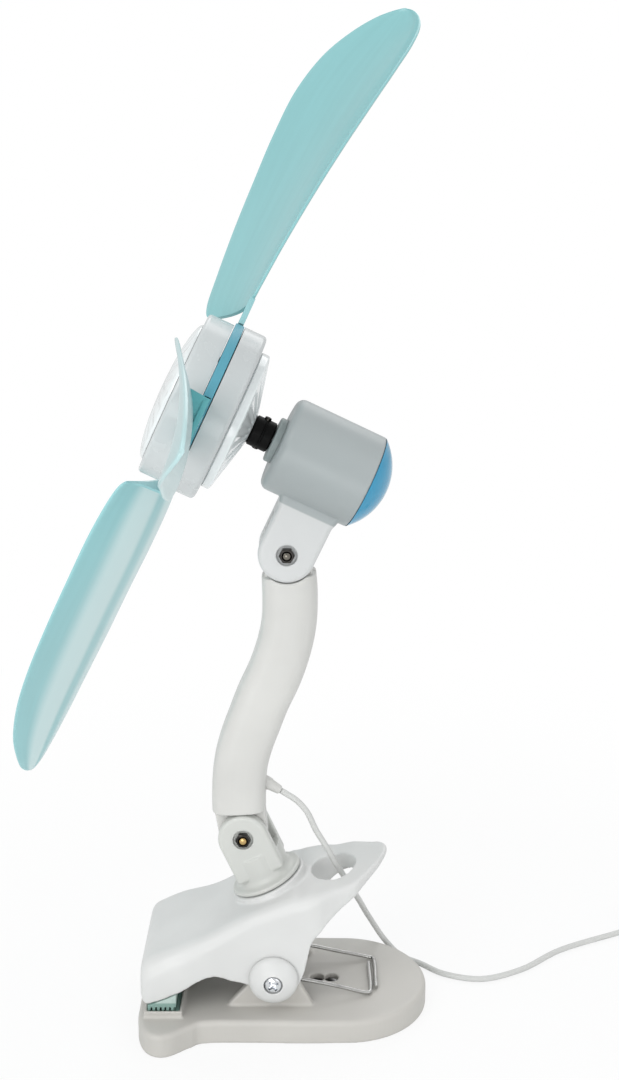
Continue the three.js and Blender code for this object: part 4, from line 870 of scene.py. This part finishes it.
coupler = turned("coupler", [
    (1.6, -2.4), (3, -2.4), (3.4, -2), (3.4, 18.7), (4.9, 18.7), (COUPLER_R, 19.2), (COUPLER_R, 22.2),
    (5.2, 22.5), (5.2, 22.9), (COUPLER_R, 23.2), (COUPLER_R, 25.9), (5, 26.4), (1.6, 26.4), (1.6, -2.4),
], None, 64)
cut(coupler, rod("screw_hole", GRUB_R + 0.15, -12, 12, shift(0, 0, GRUB_Z) @ turning(90, "Y"), 24))
done(coupler, "shaft_coupler_turned", coupler_black, "rotor", "shaft_coupler", angle=TURNED, at=head)


def grub_screw(length):
    """Set screw with a hexagon socket, standing out of the coupler."""
    face = COUPLER_R + length
    made = turned("grub", [(0, 1.7), (GRUB_R, 1.7), (GRUB_R, face - 0.2), (1, face), (0, face)], None, 28)
    return cut(made, rod("socket", 0.62, face - 0.9, face + 1, None, 6))


for sign, length, node in ((1, 0.8, "set_screw_upper"), (-1, 0.3, "set_screw_lower")):
    at = head @ shift(0, 0, GRUB_Z) @ turning(sign * 90, "Y")
    done(grub_screw(length), node + "_socket", dark_steel, "rotor", node, angle=TURNED, at=at)


# ---- motor head
HOUSING_R, HOUSING_FRONT, HOUSING_BACK = 17.2, 29.2, 63
STEM_R, EAR_HALF, TONGUE_HALF = 10.3, 9.3, 4.6
FORK_HALF = TONGUE_HALF + 0.3
BOLT_HOLE, PIN_HOLE, SEAT_HOLE = 2, 2.2, 2.5
SUNK = 1.3


def bolt_cuts(place):
    """Hole of a pivot's bolt through a fork, and the pockets that its head and its nut sit in."""
    return (
        rod("bolt_hole", BOLT_HOLE, -20, 20, place),
        rod("pocket_near", 3, EAR_HALF - SUNK, EAR_HALF + 3, place),
        rod("pocket_far", 3.7, -EAR_HALF - 3, SUNK - EAR_HALF, place),
    )


def plate_across_head(name, outline, half):
    """Drawn along the axis and upwards, thick across the head."""
    across = Matrix(((0, 1, 0), (0, 0, 1), (1, 0, 0))).to_4x4()
    return plate(name, outline, -half, half, across)


def head_housing():
    """Barrel of the motor with the forked stem below."""
    barrel = turned("barrel", [
        (0, HOUSING_FRONT), (HOUSING_R - 3, HOUSING_FRONT),
        *arc(HOUSING_R - 3, HOUSING_FRONT + 3, 3, 285, 360, 10), (HOUSING_R, HOUSING_BACK), (0, HOUSING_BACK),
    ], None, 96)
    s, x = PIVOT_BACK, -PIVOT_DOWN
    stem = plate_across_head("stem", [
        (s + STEM_R + 1.6, -HOUSING_R + 3.4), (s + STEM_R, -HOUSING_R - 2), *arc(s, x, STEM_R, 360, 180, 40),
        (s - STEM_R, -HOUSING_R - 2), (s - STEM_R - 1.6, -HOUSING_R + 3.4),
    ], EAR_HALF)
    soften(stem, 1.6, 5, 50)
    weld(barrel, stem)
    wall = 1.8
    cut(
        barrel, rod("bore", HOUSING_R - wall, HOUSING_FRONT + wall, HOUSING_BACK + 1, None, 96),
        rod("shaft_hole", 3.2, HOUSING_FRONT - 1, HOUSING_FRONT + 3, None, 48),
        block("fork", -60, x + STEM_R, -FORK_HALF, FORK_HALF, s - 20, s + 20),
        *bolt_cuts(shift(x, 0, s) @ turning(90, "X")),
    )
    return mould(barrel, 0.33, 5, 0.55)


done(head_housing(), "head_housing_moulded", barrel_grey, "head", "head_housing", angle=MOULDED, at=head)


def rear_dome():
    rim, rise, z0 = HOUSING_R - 0.15, 8, HOUSING_BACK + 0.1
    sphere = (rim**2 + rise**2) / (2 * rise)
    sweep = math.degrees(math.asin(rim / sphere))
    skirt = [(0, z0 - 3), (15.1, z0 - 3), (15.1, z0)]
    shell = arc(0, z0 + rise - sphere, sphere, 90 - sweep, 90, 26)[:-1]
    return turned("dome", [*skirt, *shell, (0, z0 + rise)], head, 96)


done(rear_dome(), "rear_dome_turned", dome_blue, "head", "rear_dome", angle=TURNED)
collar = turned("collar", [
    (2, 26.7), (7.6, 26.7), *arc(7.6, 27.3, 0.6, 270, 360, 4), (8.2, 29.1), (2, 29.1), (2, 26.7),
], head, 64)
done(collar, "front_collar_turned", collar_grey, "head", "front_collar", angle=TURNED)


# ---- arm
ARM_WIDE, ARM_THICK, ARM_WALL = 10, 9, 2
# Power of the arm's section: 1 is an ellipse, less is squarer.
ARM_ROUND = 0.62
POST_SHARE = 0.52
arm_line = Line(drawn([
    lower_pivot + Vector((ARM_OVER * u, 0, ARM_UP * w)) for u, w in (
        (0, 0), (-0.08, 0.054), (-0.1, 0.129), (-0.05, 0.248), (0.08, 0.33), (0.25, 0.402),
        (0.45, 0.483), (0.735, 0.58), (0.94, 0.677), (1.036, 0.754), (1.06, 0.846), (1, 1),
    )
], 16))


def arm_share(distance, from_top):
    """Share of the arm's length at that distance from one of its pivots."""
    end = upper_pivot if from_top else lower_pivot
    near, far = (1, 0.5) if from_top else (0, 0.5)
    for _ in range(30):
        mid = (near + far) / 2
        if (arm_line.at(mid) - end).length < distance:
            near = mid
        else:
            far = mid
    return near


def arm_rings(inset, low, high, count, sides=48):
    rings = []
    for i in range(count + 1):
        u = low + (high - low) * i / count
        p, t = arm_line.at(u), arm_line.along(u)
        ring = []
        for k in range(sides):
            a = 2 * math.pi * (k + 0.5) / sides
            x, y = [math.copysign(abs(f) ** ARM_ROUND, f) for f in (math.cos(a), math.sin(a))]
            x *= (ARM_WIDE - inset) * (1 - 0.03 * smoothstep(u, 0.86, 0.97))
            ring.append((p.x + t.z * x, y * (ARM_THICK - inset), p.z - t.x * x))
        rings.append(ring)
    return rings


def grommet(grow, steps=48):
    place = shift(*GROMMET) @ GROMMET_AIM.to_track_quat("Z", "Y").to_matrix().to_4x4()
    tip = CORD_D / 2 + 0.35 + grow
    return turned("grommet", [
        (0, -3.2), (2.4 + grow, -3.2), (2.4 + grow, 0), (2.35 + grow, 0.7), (2.1 + grow, 1.3),
        (tip + 0.2, 4.9), (tip, 5.3), (tip - 0.3, 5.5), (0, 5.5),
    ], place, steps)


def tongue(pivot, u, half, r):
    aim = arm_line.at(u) - pivot
    angle = math.degrees(math.atan2(aim.z, aim.x))
    c, s, far = math.cos(rad(angle)), math.sin(rad(angle)), aim.length
    out = [(pivot.x + far * c - side * half * s, pivot.z + far * s + side * half * c) for side in (-1, 1)]
    outline = [*out, *arc(pivot.x, pivot.z, r, angle + 82, angle + 278, 48)]
    return plate("tongue", outline, -TONGUE_HALF, TONGUE_HALF, None, "Y")


def arm_body():
    """The hollow arm before it is split, with a tongue at each end and the screw's post."""
    low, high = arm_share(9.8, False), arm_share(8.6, True)
    in_low, in_high = arm_share(12.8, False), arm_share(13.8, True)
    body = skin("arm", arm_rings(0, low, high, 90))
    cut(body, rod("shoulder", STEM_R + 0.25, -20, 20, along_y(upper_pivot.x, upper_pivot.z), 96))
    weld(body, tongue(lower_pivot, in_low, 9.4, 9.1), tongue(upper_pivot, in_high, 8, 9))
    cut(body, skin("hollow", arm_rings(ARM_WALL, in_low, in_high, 40, 32)))
    post = arm_line.at(POST_SHARE)
    at_post = along_y(post.x, post.z)
    weld(body, rod("post", 3, -8, 8, at_post))
    cut(
        body,
        *[rod("bolt_hole", BOLT_HOLE, -20, 20, along_y(p.x, p.z)) for p in (lower_pivot, upper_pivot)],
        rod("screw_shank", 1.5, -5, 20, at_post), rod("screw_head", 2.6, 5.6, 20, at_post), grommet(0.3),
    )
    return body


arm_whole = arm_body()
for side, node in ((1, "arm_near"), (-1, "arm_far")):
    half = added("arm_half", arm_whole.data.copy())
    away = (-0.1, 90) if side > 0 else (-90, 0.1)
    cut(half, block("other_side", -90, 90, *away, 0, 300))
    mould(half, 0.36, 4, 0.6)
    done(half, node + "_moulded", arm_white_painted_shade, "arm", node, angle=MOULDED)
bpy.data.objects.remove(arm_whole)
done(grommet(0), "cord_grommet_turned", arm_white_painted_shade, "arm", "cord_grommet", angle=TURNED)


# ---- stalk
def swivel_post():
    """Round foot that runs up into a fork."""
    waist = 12
    foot = turned("foot", [
        (0, 0.3), (13.2, 0.3), (13.75, 0.8), (13.75, 1.6), (13.3, 2.05), (12, 2.3), (11.1, 2.7), (10.5, 3.3),
        (10.2, 4.2), (10.2, waist + 1), (0, waist + 1),
    ], None, 96)
    r = 9.3
    ear = plate("ear", [(r, 5), *arc(0, POST_PIVOT, r, 0, 180, 48), (-r, 5)], -EAR_HALF, EAR_HALF, None, "Y")
    soften(ear, 1.2, 4, 50)
    weld(foot, ear)
    fork = block("fork", -20, 20, -FORK_HALF, FORK_HALF, waist, 42)
    cut(foot, fork, *bolt_cuts(along_y(0, POST_PIVOT)), rod("screw_hole", SEAT_HOLE, -1, waist - 2))
    return mould(foot, 0.3, 5, 0.6)


done(swivel_post(), "swivel_post_moulded", stalk_white, "swivel", "swivel_post", angle=MOULDED, at=seat)


def pivot_bolt():
    """Round head on the far side, a domed end that stands out of the nut on the near side."""
    y, r = 8.1, 1.7
    tip = [(0, -y - 2.6), (0.7, -y - 2.52), (1.25, -y - 2.25), (1.6, -y - 1.75), (r, -y - 1.2)]
    cap = [(r, y), (3.2, y), (3.2, y + 1), (2.9, y + 1.5), (2.1, y + 1.9), (0, y + 2)]
    return turned("bolt", [*tip, *cap], None, 40)


def pivot_nut():
    """Hexagon nut with chamfered corners in its pocket."""
    made = rod("nut", 2.85, -10.3, -8.1, None, 6)
    hollow = turned("hollow", [(0, -12), (1.85, -12), (1.85, -7), (0, -7)], None, 32)
    rim = turned("rim", [
        (2.2, -11.5), (2.2, -10.3), (2.9, -9.8), (2.9, -8.4), (2.6, -8.1), (2.6, -7), (5, -7), (5, -11.5),
        (2.2, -11.5),
    ], None, 48)
    return cut(made, hollow, rim)


for name, pivot, body, tip in (
    ("lower", lower_pivot, "swivel", turned_brass), ("upper", upper_pivot, "arm", nut_steel),
):
    for part, made, finish in (("bolt", pivot_bolt(), tip), ("nut", pivot_nut(), dark_steel)):
        at = along_y(pivot.x, pivot.z)
        done(made, f"{name}_{part}_turned", finish, body, f"{name}_{part}", angle=TURNED, at=at)


# ---- upper jaw
# Stations along the jaw: x, lower edge, upper edge, half width, radius of the upper corners.
JAW = [
    (-49, 16.5, 26, 23.5, 4), (-48.4, 14.8, 27.8, 25.3, 6), (-46.8, 13.6, 29.5, 26.6, 7),
    (-43.7, 14.5, 31, 27, 7), (-38.5, 16.6, 33.4, 27, 7), (-33.7, 18.5, 35.2, 26.6, 7),
    (-27, 22, 37.4, 25, 6.5), (-21.5, 23, 39.8, 23.8, 6), (-16, 21, 43, 23.2, 6), (-9.2, 19, 46.4, 23, 5),
    *[(x, CLIP_Z - math.sqrt(9.6**2 - x**2), 50.2 + 0.4 * x, 23, 5) for x in (-7, -4, 0, 4, 7)],
    (9.4, 19.6, 53.2, 23, 4.5), (11.6, 25, 53.9, 23, 4.5), (13.8, 35.2, 54.4, 23, 4.5),
    (17.3, 40, 55, 22.3, 3.5), (20, 43.3, 55.5, 21.1, 2.6), (24, 47.4, 56.2, 19.6, 2.4),
    (30, 52.5, 58.2, 18, 2.2), (34, 55.8, 59.9, 14.2, 1.9), (37.3, 58.1, 61.6, 10.4, 1.6),
    (39.6, 59.8, 63.1, 7.4, 1.5), (41.4, 61.3, 63.9, 4, 1.2), (42.4, 62.5, 64, 1.4, 0.6),
]


def jaw_stations(rows, per=3):
    """More stations between those given, each size on its own smooth curve along the jaw."""
    made = []
    for i in range(len(rows) - 1):
        around = [rows[max(i - 1, 0)], rows[i], rows[i + 1], rows[min(i + 2, len(rows) - 1)]]
        for k in range(per):
            t = k / per
            row = []
            for c in range(5):
                p0, p1, p2, p3 = (q[c] for q in around)
                span = around[2][0] - around[1][0]
                m1 = (p2 - p0) / max(around[2][0] - around[0][0], 1e-6) * span
                m2 = (p3 - p1) / max(around[3][0] - around[1][0], 1e-6) * span
                lo, hi = min(p1, p2), max(p1, p2)
                v = (2 * t**3 - 3 * t**2 + 1) * p1 + (t**3 - 2 * t**2 + t) * m1
                v += (3 * t**2 - 2 * t**3) * p2 + (t**3 - t**2) * m2
                row.append(min(max(v, lo), hi) if c in (0, 1) else v)
            made.append(tuple(row))
    return [*made, rows[-1]]


def jaw_ring(row, side, wall, floor=None):
    x, low, top, half, radius = row
    w, z = half - side, top - wall
    r = max(0.3, radius - side / 2)
    r = min(r, w - 0.05)
    bottom = low if floor is None else floor
    left, right = arc(-w + r, z - r, r, 180, 90, 10), arc(w - r, z - r, r, 90, 0, 10)
    return [(x, y, h) for y, h in [(-w, bottom), *left, *right, (w, bottom)]]


FINGER_X, FINGER_LONG, FINGER_WIDE = 22.4, 8.3, 10.2


def oval(name, grow, z0, z1):
    """Body of the finger hole, grown all round."""
    place = shift(FINGER_X, 0, 0) @ Matrix.Diagonal((FINGER_LONG + grow, FINGER_WIDE + grow, 1, 1))
    return rod(name, 1, z0, z1, place, 72)


def jaw_clip():
    """Hollow jaw with the seat of the stalk, the finger hole and its rim."""
    body = skin("jaw", [jaw_ring(row, 0, 0) for row in jaw_stations(JAW)])
    weld(body, rod("seat_ring", 14.5, -6, 0, seat, 96))
    inside = [row for row in JAW if -47 < row[0] < 38]
    inside[0] = (-49 + 2.4, *inside[0][1:])
    hollow = skin("hollow", [jaw_ring(row, 2.7, 2.4, -5) for row in inside])
    cut(hollow, oval("rim", 2.2, -10, 80))
    cut(body, hollow)
    weld(
        body, rod("seat_floor", 11.5, -6, -1, seat, 64), block("rib_across", -31.8, -30, -22, 22, 28, 34),
        block("rib_along", -42, -32.5, -1, 1, 27, 30.5),
    )
    cut(
        body, oval("finger_hole", 0, 0, 80), rod("swivel_hole", SEAT_HOLE, -8, 2, seat),
        rod("pin_hole", PIN_HOLE, -30, 30, along_y(0, CLIP_Z)),
    )
    return mould(body, 0.5, 5, 0.5)


done(jaw_clip(), "jaw_clip_moulded", white, "jaw", "jaw_clip", angle=MOULDED)


# ---- base
BASE_HALF, BASE_TOP, BASE_FRONT = 31, 9.05, -50.1
BASE_WALL, BASE_EDGE = 2.4, 1.9
TRAY = (-46.5, -34.5, -27.3, 27.3)


def base_outline(inset):
    tail = arc(27, 0, BASE_HALF - inset, 0, 90, 26)
    knots = [Vector((*p, 0)) for p in (
        (11, BASE_HALF + 0.3), (-22.5, BASE_HALF), (-30, BASE_HALF + 3.1), (-36.8, BASE_HALF + 8.28),
        (-41.9, BASE_HALF + 9.2), (-46.7, BASE_HALF + 5.7), (BASE_FRONT + 0.4, BASE_HALF - 3),
        (BASE_FRONT, BASE_HALF / 2), (BASE_FRONT, 0),
    )]
    knots = [knots[0], *knots, knots[-1]]
    side, steps = [], 6
    for a, b, c, d in zip(knots, knots[1:], knots[2:], knots[3:]):
        square, cube = 2 * a - 5 * b + 4 * c - d, 3 * b - a - 3 * c + d
        for i in range(steps):
            t = i / steps
            p = (2 * b + (c - a) * t + square * t**2 + cube * t**3) / 2
            g = ((c - a) + 2 * square * t + 3 * cube * t**2).normalized()
            side.append((p.x - g.y * inset, p.y + g.x * inset))
    half = [*tail, *side]
    return [*half, (BASE_FRONT + inset, 0), *[(x, -y) for x, y in half[:0:-1]]]


def base_clip():
    """Hollow foot with ribs, two ears, the pad's tray and the keyhole."""
    levels = [(0.5, 0), (0, 0.5)]
    for a in range(0, 91, 15):
        levels.append((BASE_EDGE * (1 - math.cos(rad(a))), BASE_TOP - BASE_EDGE * (1 - math.sin(rad(a)))))
    body = skin("base", [[(x, y, z) for x, y in base_outline(inset)] for inset, z in levels])
    ceiling = BASE_TOP - BASE_WALL
    cut(body, plate("hollow", base_outline(BASE_WALL), -1, ceiling))
    weld(body, *[block("rib", *size, ceiling + 1) for size in (
        (-46, 50, 14, 15.8, 0), (-46, 50, -15.8, -14, 0), (-29.8, -28, -30.5, 30.5, 0.4),
        (33, 34.8, -28.5, 28.5, 0.4), (-10, 10, -14.5, 14.5, 0),
    )])
    round_pin = arc(0, CLIP_Z, 9.2, 200, -15, 48)
    profile = [(-17.3, ceiling), (-17.3, BASE_TOP), *round_pin, (14.7, BASE_TOP), (14.7, ceiling)]
    for y0, y1 in ((16.5, 20), (-20, -16.5)):
        weld(body, soften(plate("ear", profile, y0, y1, None, "Y"), 0.7, 3, 50))
    weld(body, block("lip", -47.5, -33.5, -28.3, 28.3, BASE_TOP - 0.5, BASE_TOP + 2.45))
    cut(
        body, block("tray", *TRAY, BASE_TOP, 20), rod("pin_hole", PIN_HOLE, -30, 30, along_y(0, CLIP_Z)),
        *[rod("keyhole", 2.8, -1, 20, shift(x, 0, 0)) for x in (16.2, 21.6)],
        *[rod("mould_dot", 0.45, BASE_TOP - 0.5, 20, shift(38, y, 0), 16) for y in (-20, 20)],
    )
    return mould(body, 0.42, 3, 0.5)


done(base_clip(), "base_clip_moulded", base_white, "base", "base_clip", angle=MOULDED)


# ---- pads
PAD_X, PAD_HALF = (-46.2, -34.8), 27
TOOTH_STEP = 1.7
TEETH = {"Count": 6, "Start": 0.0, "Step": TOOTH_STEP * MM}


def pad_upper():
    """Toothed pad: a solid crown, and one tooth repeated along it."""
    low = 11.2
    x0, x1 = PAD_X[0], -35.8
    crown_line = [(x0, low + 1.4), (x1, low + 1.4), (x1, 17.4), (-38.5, 16.2), (-43.7, 14.1), (x0, 13.3)]
    body = plate("crown", crown_line, -PAD_HALF, PAD_HALF, None, "Y")
    tooth = plate("tooth", [
        (x0, low + 1.6), (x0, low + 0.15), (x0 + 0.2, low), (x0 + 0.75, low), (x0 + 0.95, low + 0.2),
        (x0 + 1.15, low + 1.6),
    ], -PAD_HALF, PAD_HALF, None, "Y")
    weld(body, grown(tooth, ALONG_LINE, pad_crown, **TEETH))
    return soften(body, 0.12, 2, 40)


done(pad_upper(), "pad_upper_toothed", pad_crown, "jaw", "pad_upper", angle=35)


def pad_lower():
    """Flat pad in the tray of the base, with the same teeth as shallow grooves."""
    body = block("pad", *PAD_X, -PAD_HALF, PAD_HALF, 9.1, 10.6)
    groove = block("groove", PAD_X[0] + 1.15, PAD_X[0] + 1.7, -PAD_HALF - 1, PAD_HALF + 1, 10.1, 12)
    cut(body, grown(groove, ALONG_LINE, pad_teal, **TEETH))
    return soften(body, 0.1, 2, 40)


done(pad_lower(), "pad_lower_grooved", pad_teal, "base", "pad_lower", angle=35)


# ---- pin of the clip
CAP_Y = 23.3
CROSS_TURN = turning(38, "Z")
PIN_FAR = along_y(0, CLIP_Z)
PIN_NEAR = shift(0, 0, CLIP_Z) @ turning(180, "Z") @ ALONG_Y


def dome_washer():
    return turned("washer", [
        (2.2, 0), (8.8, 0), (9.1, 0.3), (9.1, 0.9), (8.9, 1.5), (8.5, 2.05), (7.9, 2.65), (7, 3.25),
        (5.9, 3.85), (4.8, 4.3), (4.05, 4.55), (3.75, 4.7), (3.5, 4.6), (3.5, 2.6), (2.2, 2.6), (2.2, 0),
    ], None, 80)


for node, side in (("dome_washer_far", PIN_FAR), ("dome_washer_near", PIN_NEAR)):
    done(dome_washer(), node + "_turned", white, "base", node, angle=32, at=side @ shift(0, 0, CAP_Y))


def clip_screw():
    """Rounded head with a cross recess."""
    y = 26.185
    made = turned("screw", [
        (0, -y - 2.4), (1.6, -y - 2.4), (1.9, -y - 2.1), (1.9, y), (3.1, y), (3.2, y + 0.2), (3.2, y + 1.1),
        (3, y + 1.55), (2.5, y + 1.95), (1.6, y + 2.2), (0, y + 2.3),
    ], None, 56)
    for wide, long in ((0.5, 2.2), (2.2, 0.5)):
        cut(made, block("slot", -wide, wide, -long, long, y + 0.3, y + 5, CROSS_TURN))
    cut(made, rod("centre", 0.85, y + 0.2, y + 5, None, 20))
    return soften(made, 0.1, 2, 40)


done(clip_screw(), "clip_screw_turned", chrome, "base", "clip_screw", at=PIN_NEAR)


# ---- spring
WIRE_R = 0.75


def spring_points():
    """Tail on the base, leg, coil, bridge under the seat, coil, leg, tail."""
    coil_r, coil_in, leg_y, bail_x, turns = 5, 6.5, 13, 38.6, 3
    z = BASE_TOP + WIRE_R + 0.3

    def side(sign):
        points = []
        start, end = 151, 262.5 + 360 * turns
        for i in range(16 * turns + 1):
            f = i / (16 * turns)
            a = rad(start + (end - start) * f)
            y = coil_in + (leg_y - coil_in) * f
            points.append(Vector((coil_r * math.cos(a), sign * y, CLIP_Z + coil_r * math.sin(a))))
        bend = bail_x - (0 if sign > 0 else 2.2)
        points += [Vector(p) for p in (
            (11.6, sign * leg_y, 15.6), (bail_x - 13, sign * leg_y, z + 2.4),
            (bend - 2, sign * leg_y, z + 0.1), (bend - 0.5, sign * (leg_y - 0.5), z),
            (bend, sign * (leg_y - 2), z), (bend, sign * -9, z),
        )]
        return points

    half = [(7.6, coil_in, 47), (9, coil_in - 1.6, 48.6)]
    bridge = [Vector(p) for p in (*[(x, -y, z) for x, y, z in half], *half[::-1])]
    return [*side(-1)[::-1], *bridge, *side(1)]


def spring():
    data = bpy.data.curves.new("spring", "CURVE")
    data.dimensions = "3D"
    spline = data.splines.new("POLY")
    line = drawn(spring_points(), 4)
    spline.points.add(len(line) - 1)
    for knot, p in zip(spline.points, line):
        knot.co = (*(p * MM), 1)
    return grown(added("spring", data), WIRE_ALONG, spring_wire, Radius=WIRE_R * MM, Sides=14)


done(spring(), "clip_spring_wire", spring_wire, "base", "clip_spring", angle=60)


# ---- switch and plug on the cord
facing = Matrix.Rotation(math.atan2(LEAVE.y, LEAVE.x), 4, "Z")
switch_place = shift(SWITCH_MIDDLE.x, SWITCH_MIDDLE.y, SWITCH[2] / 2 + 0.05) @ facing


def rounded_block(name, lx, ly, lz, radius, steps=8):
    y, z = ly / 2 - radius, lz / 2 - radius
    outline = []
    for cy, cz, start in ((y, z, 0), (-y, z, 90), (-y, -z, 180), (y, -z, 270)):
        outline += arc(cy, cz, radius, start, start + 90, steps)
    ends = 0.7
    rings = []
    for x, scale in ((-lx / 2, 0.9), (ends - lx / 2, 1), (lx / 2 - ends, 1), (lx / 2, 0.9)):
        rings.append([(x, a * scale, b * scale) for a, b in outline])
    return skin(name, rings)


def switch_body():
    """Two shells with a seam, a well for the rocker and a relief at each end."""
    lx, ly, lz = SWITCH
    body = rounded_block("switch", lx - 2, ly, lz, 2.4)
    for s in (-1, 1):
        place = shift(s * (lx / 2 - 2.4), 0, FLOOR - lz / 2 + 1.3) @ turning(s * 90, "Y")
        weld(body, turned("relief", [(0, -1), (2.6, -1), (2.6, 0), (1.7, 2.4), (0, 2.4)], place, 32))
    cut(body, block("well", -7.6, 7.6, -4.5, 4.5, 0, lz))
    seams = [block("seam", -18.5, 18.5, y, y + 1.25, -0.15, 0.15) for y in (-8, 6.75)]
    cut(body, *seams)
    return soften(body, 0.25, 2, 50)


done(switch_body(), "switch_body_moulded", white, "base", "switch_body", angle=40, at=switch_place)


def switch_rocker():
    """Rocker with a dished top."""
    dish = [(7 * c, 1.7 + 0.9 * c * c) for c in [0.8 - 0.2 * i for i in range(9)]]
    line = [(-6.6, 0), (6.6, 0), (7, 2.6), *dish, (-7, 2.6)]
    return soften(plate("rocker", line, -4.1, 4.1, None, "Y"), 0.3, 3, 50)


at = switch_place @ shift(0, 0, SWITCH[2] / 2 - 1.9) @ turning(-7, "Y")
done(switch_rocker(), "switch_rocker_moulded", stalk_white, "rocker", "switch_rocker", angle=40, at=at)

PLUG_RELIEF = 9
plug_start = coil_line[-1] + coil_tail * 0.3
plug_place = shift(*plug_start) @ Matrix.Rotation(math.atan2(coil_tail.y, coil_tail.x), 4, "Z")


def plug_grip():
    """Grip with a ribbed strain relief."""
    along = turning(90, "Y")
    ribs = [(0, 0), (1.5, 0)]
    for i in range(5):
        r, x = 1.7 + 0.24 * i, 0.5 + 1.5 * i
        ribs += [(r, x), (r, x + 0.9), (r - 0.45, x + 1), (r - 0.45, x + 1.4)]
    body = turned("relief", [*ribs, (3, 8.2), (3, 11), (0, 11)], along, 40)
    grip = rounded_block("grip", *GRIP, 1.8)
    grip.data.transform(metres(shift(PLUG_RELIEF + GRIP[0] / 2, 0, 0)))
    weld(body, grip)
    cut(body, *[block("thumb", 14 + 3 * i, 15.4 + 3 * i, -8, 8, GRIP[2] / 2 - 0.35, 9) for i in range(6)])
    return soften(body, 0.2, 2, 50)


done(plug_grip(), "plug_grip_moulded", white, "base", "plug_grip", angle=40, at=plug_place)


def plug_shell():
    """Open shell of thin sheet with two windows."""
    x0, (lx, ly, lz), t = PLUG_RELIEF + GRIP[0] + 0.1, (12.5, 12, 4.5), 0.4
    made = block("shell", x0, x0 + lx, -ly / 2, ly / 2, -lz / 2, lz / 2)
    cut(
        made, block("mouth", x0 + 1, x0 + lx + 1, t - ly / 2, ly / 2 - t, t - lz / 2 + 1.8, lz / 2 - t),
        *[block("window", x0 + 5, x0 + 7.4, y - 1.1, y + 1.1, lz / 2 - 1, 9) for y in (-2.8, 2.8)],
    )
    return soften(made, 0.12, 2, 50)


done(plug_shell(), "plug_shell_formed", steel, "base", "plug_shell", angle=40, at=plug_place)


# ---- cord pieces
lead_length = Line(drawn(lead_points)).length * MM
coil_length = Line(drawn(coil_line, 4)).length * MM
done(cord_lead, "cord_lead_run", cord_grey, "base", "cord_lead")
done(cord_coil, "cord_coil_run", cord_grey, "base", "cord_coil")
coil_line[0] * MM
print(f"cord lengths: lead {lead_length:.3f} m, coil {coil_length:.3f} m")


# ---- light and floor
def studio():
    world = bpy.data.worlds.new("studio")
    bpy.context.scene.world = world
    world.use_nodes = True
    tree = world.node_tree
    sky = tree.nodes["Background"]
    sky.inputs["Color"].default_value = (1, 1, 1, 1)
    path = tree.nodes.new("ShaderNodeLightPath")
    level = tree.nodes.new("ShaderNodeMapRange")
    level.inputs["To Min"].default_value, level.inputs["To Max"].default_value = AMBIENT, 1.0
    tree.links.new(path.outputs["Is Camera Ray"], level.inputs["Value"])
    tree.links.new(level.outputs["Result"], sky.inputs["Strength"])
    for name, place, aim, size, watts in LAMPS:
        data = bpy.data.lights.new(name, "AREA")
        data.shape, data.size, data.energy = "DISK", size, watts
        lamp = added(name, data)
        lamp.location = place
        lamp.rotation_euler = (Vector(aim) - Vector(place)).to_track_quat("-Z", "Y").to_euler()


def floor():
    mesh = bpy.data.meshes.new("floor")
    mesh.from_pydata([(-4, -4, 0), (4, -4, 0), (4, 4, 0), (-4, 4, 0)], [], [(0, 1, 2, 3)])
    ground = added("floor", mesh)
    paper = Finish("floor_paper", paint(236, 237, 237), 0.7)
    tooth = paper.noise(paper.place(), 400, 3)
    paper.relief(tooth, 0.02, 0.2)
    path = paper.tree.nodes.new("ShaderNodeLightPath")
    glow = paper.tree.nodes.new("ShaderNodeEmission")
    glow.inputs["Color"].default_value = (1, 1, 1, 1)
    blend = paper.tree.nodes.new("ShaderNodeMixShader")
    away = paper.node("ShaderNodeVectorMath", {"operation": "LENGTH"}, {0: paper.place()})[1]
    share = paper.between(away, 0.12, 0.42) * (1 - FLOOR_WHITE)
    share += paper.between(away, 0.025, 0.03) * FLOOR_WHITE
    seen = share * Value(paper, path.outputs["Is Camera Ray"])
    paper.tree.links.new(seen.socket, blend.inputs[0])
    paper.tree.links.new(paper.shader.outputs[0], blend.inputs[1])
    paper.tree.links.new(glow.outputs[0], blend.inputs[2])
    paper.tree.links.new(blend.outputs[0], paper.tree.nodes["Material Output"].inputs["Surface"])
    mesh.materials.append(paper.material)


AMBIENT = 0.77
FLOOR_WHITE = 0.85
# Name, place, what it aims at, width in metres, power.
LAMPS = (
    ("key", (-0.9, -1.2, 1.35), (0, 0, 0.16), 1.3, 11),
    ("fill", (1.2, -0.9, 0.9), (0, 0, 0.16), 1.4, 3),
    ("back", (0.3, 1.2, 1.3), (0, 0, 0.2), 1.2, 5),
    ("low", (-0.15, -0.8, 0.06), (0, 0, 0.05), 0.5, 1.9),
)
bpy.context.scene.view_settings.view_transform = "Standard"
studio()
floor()
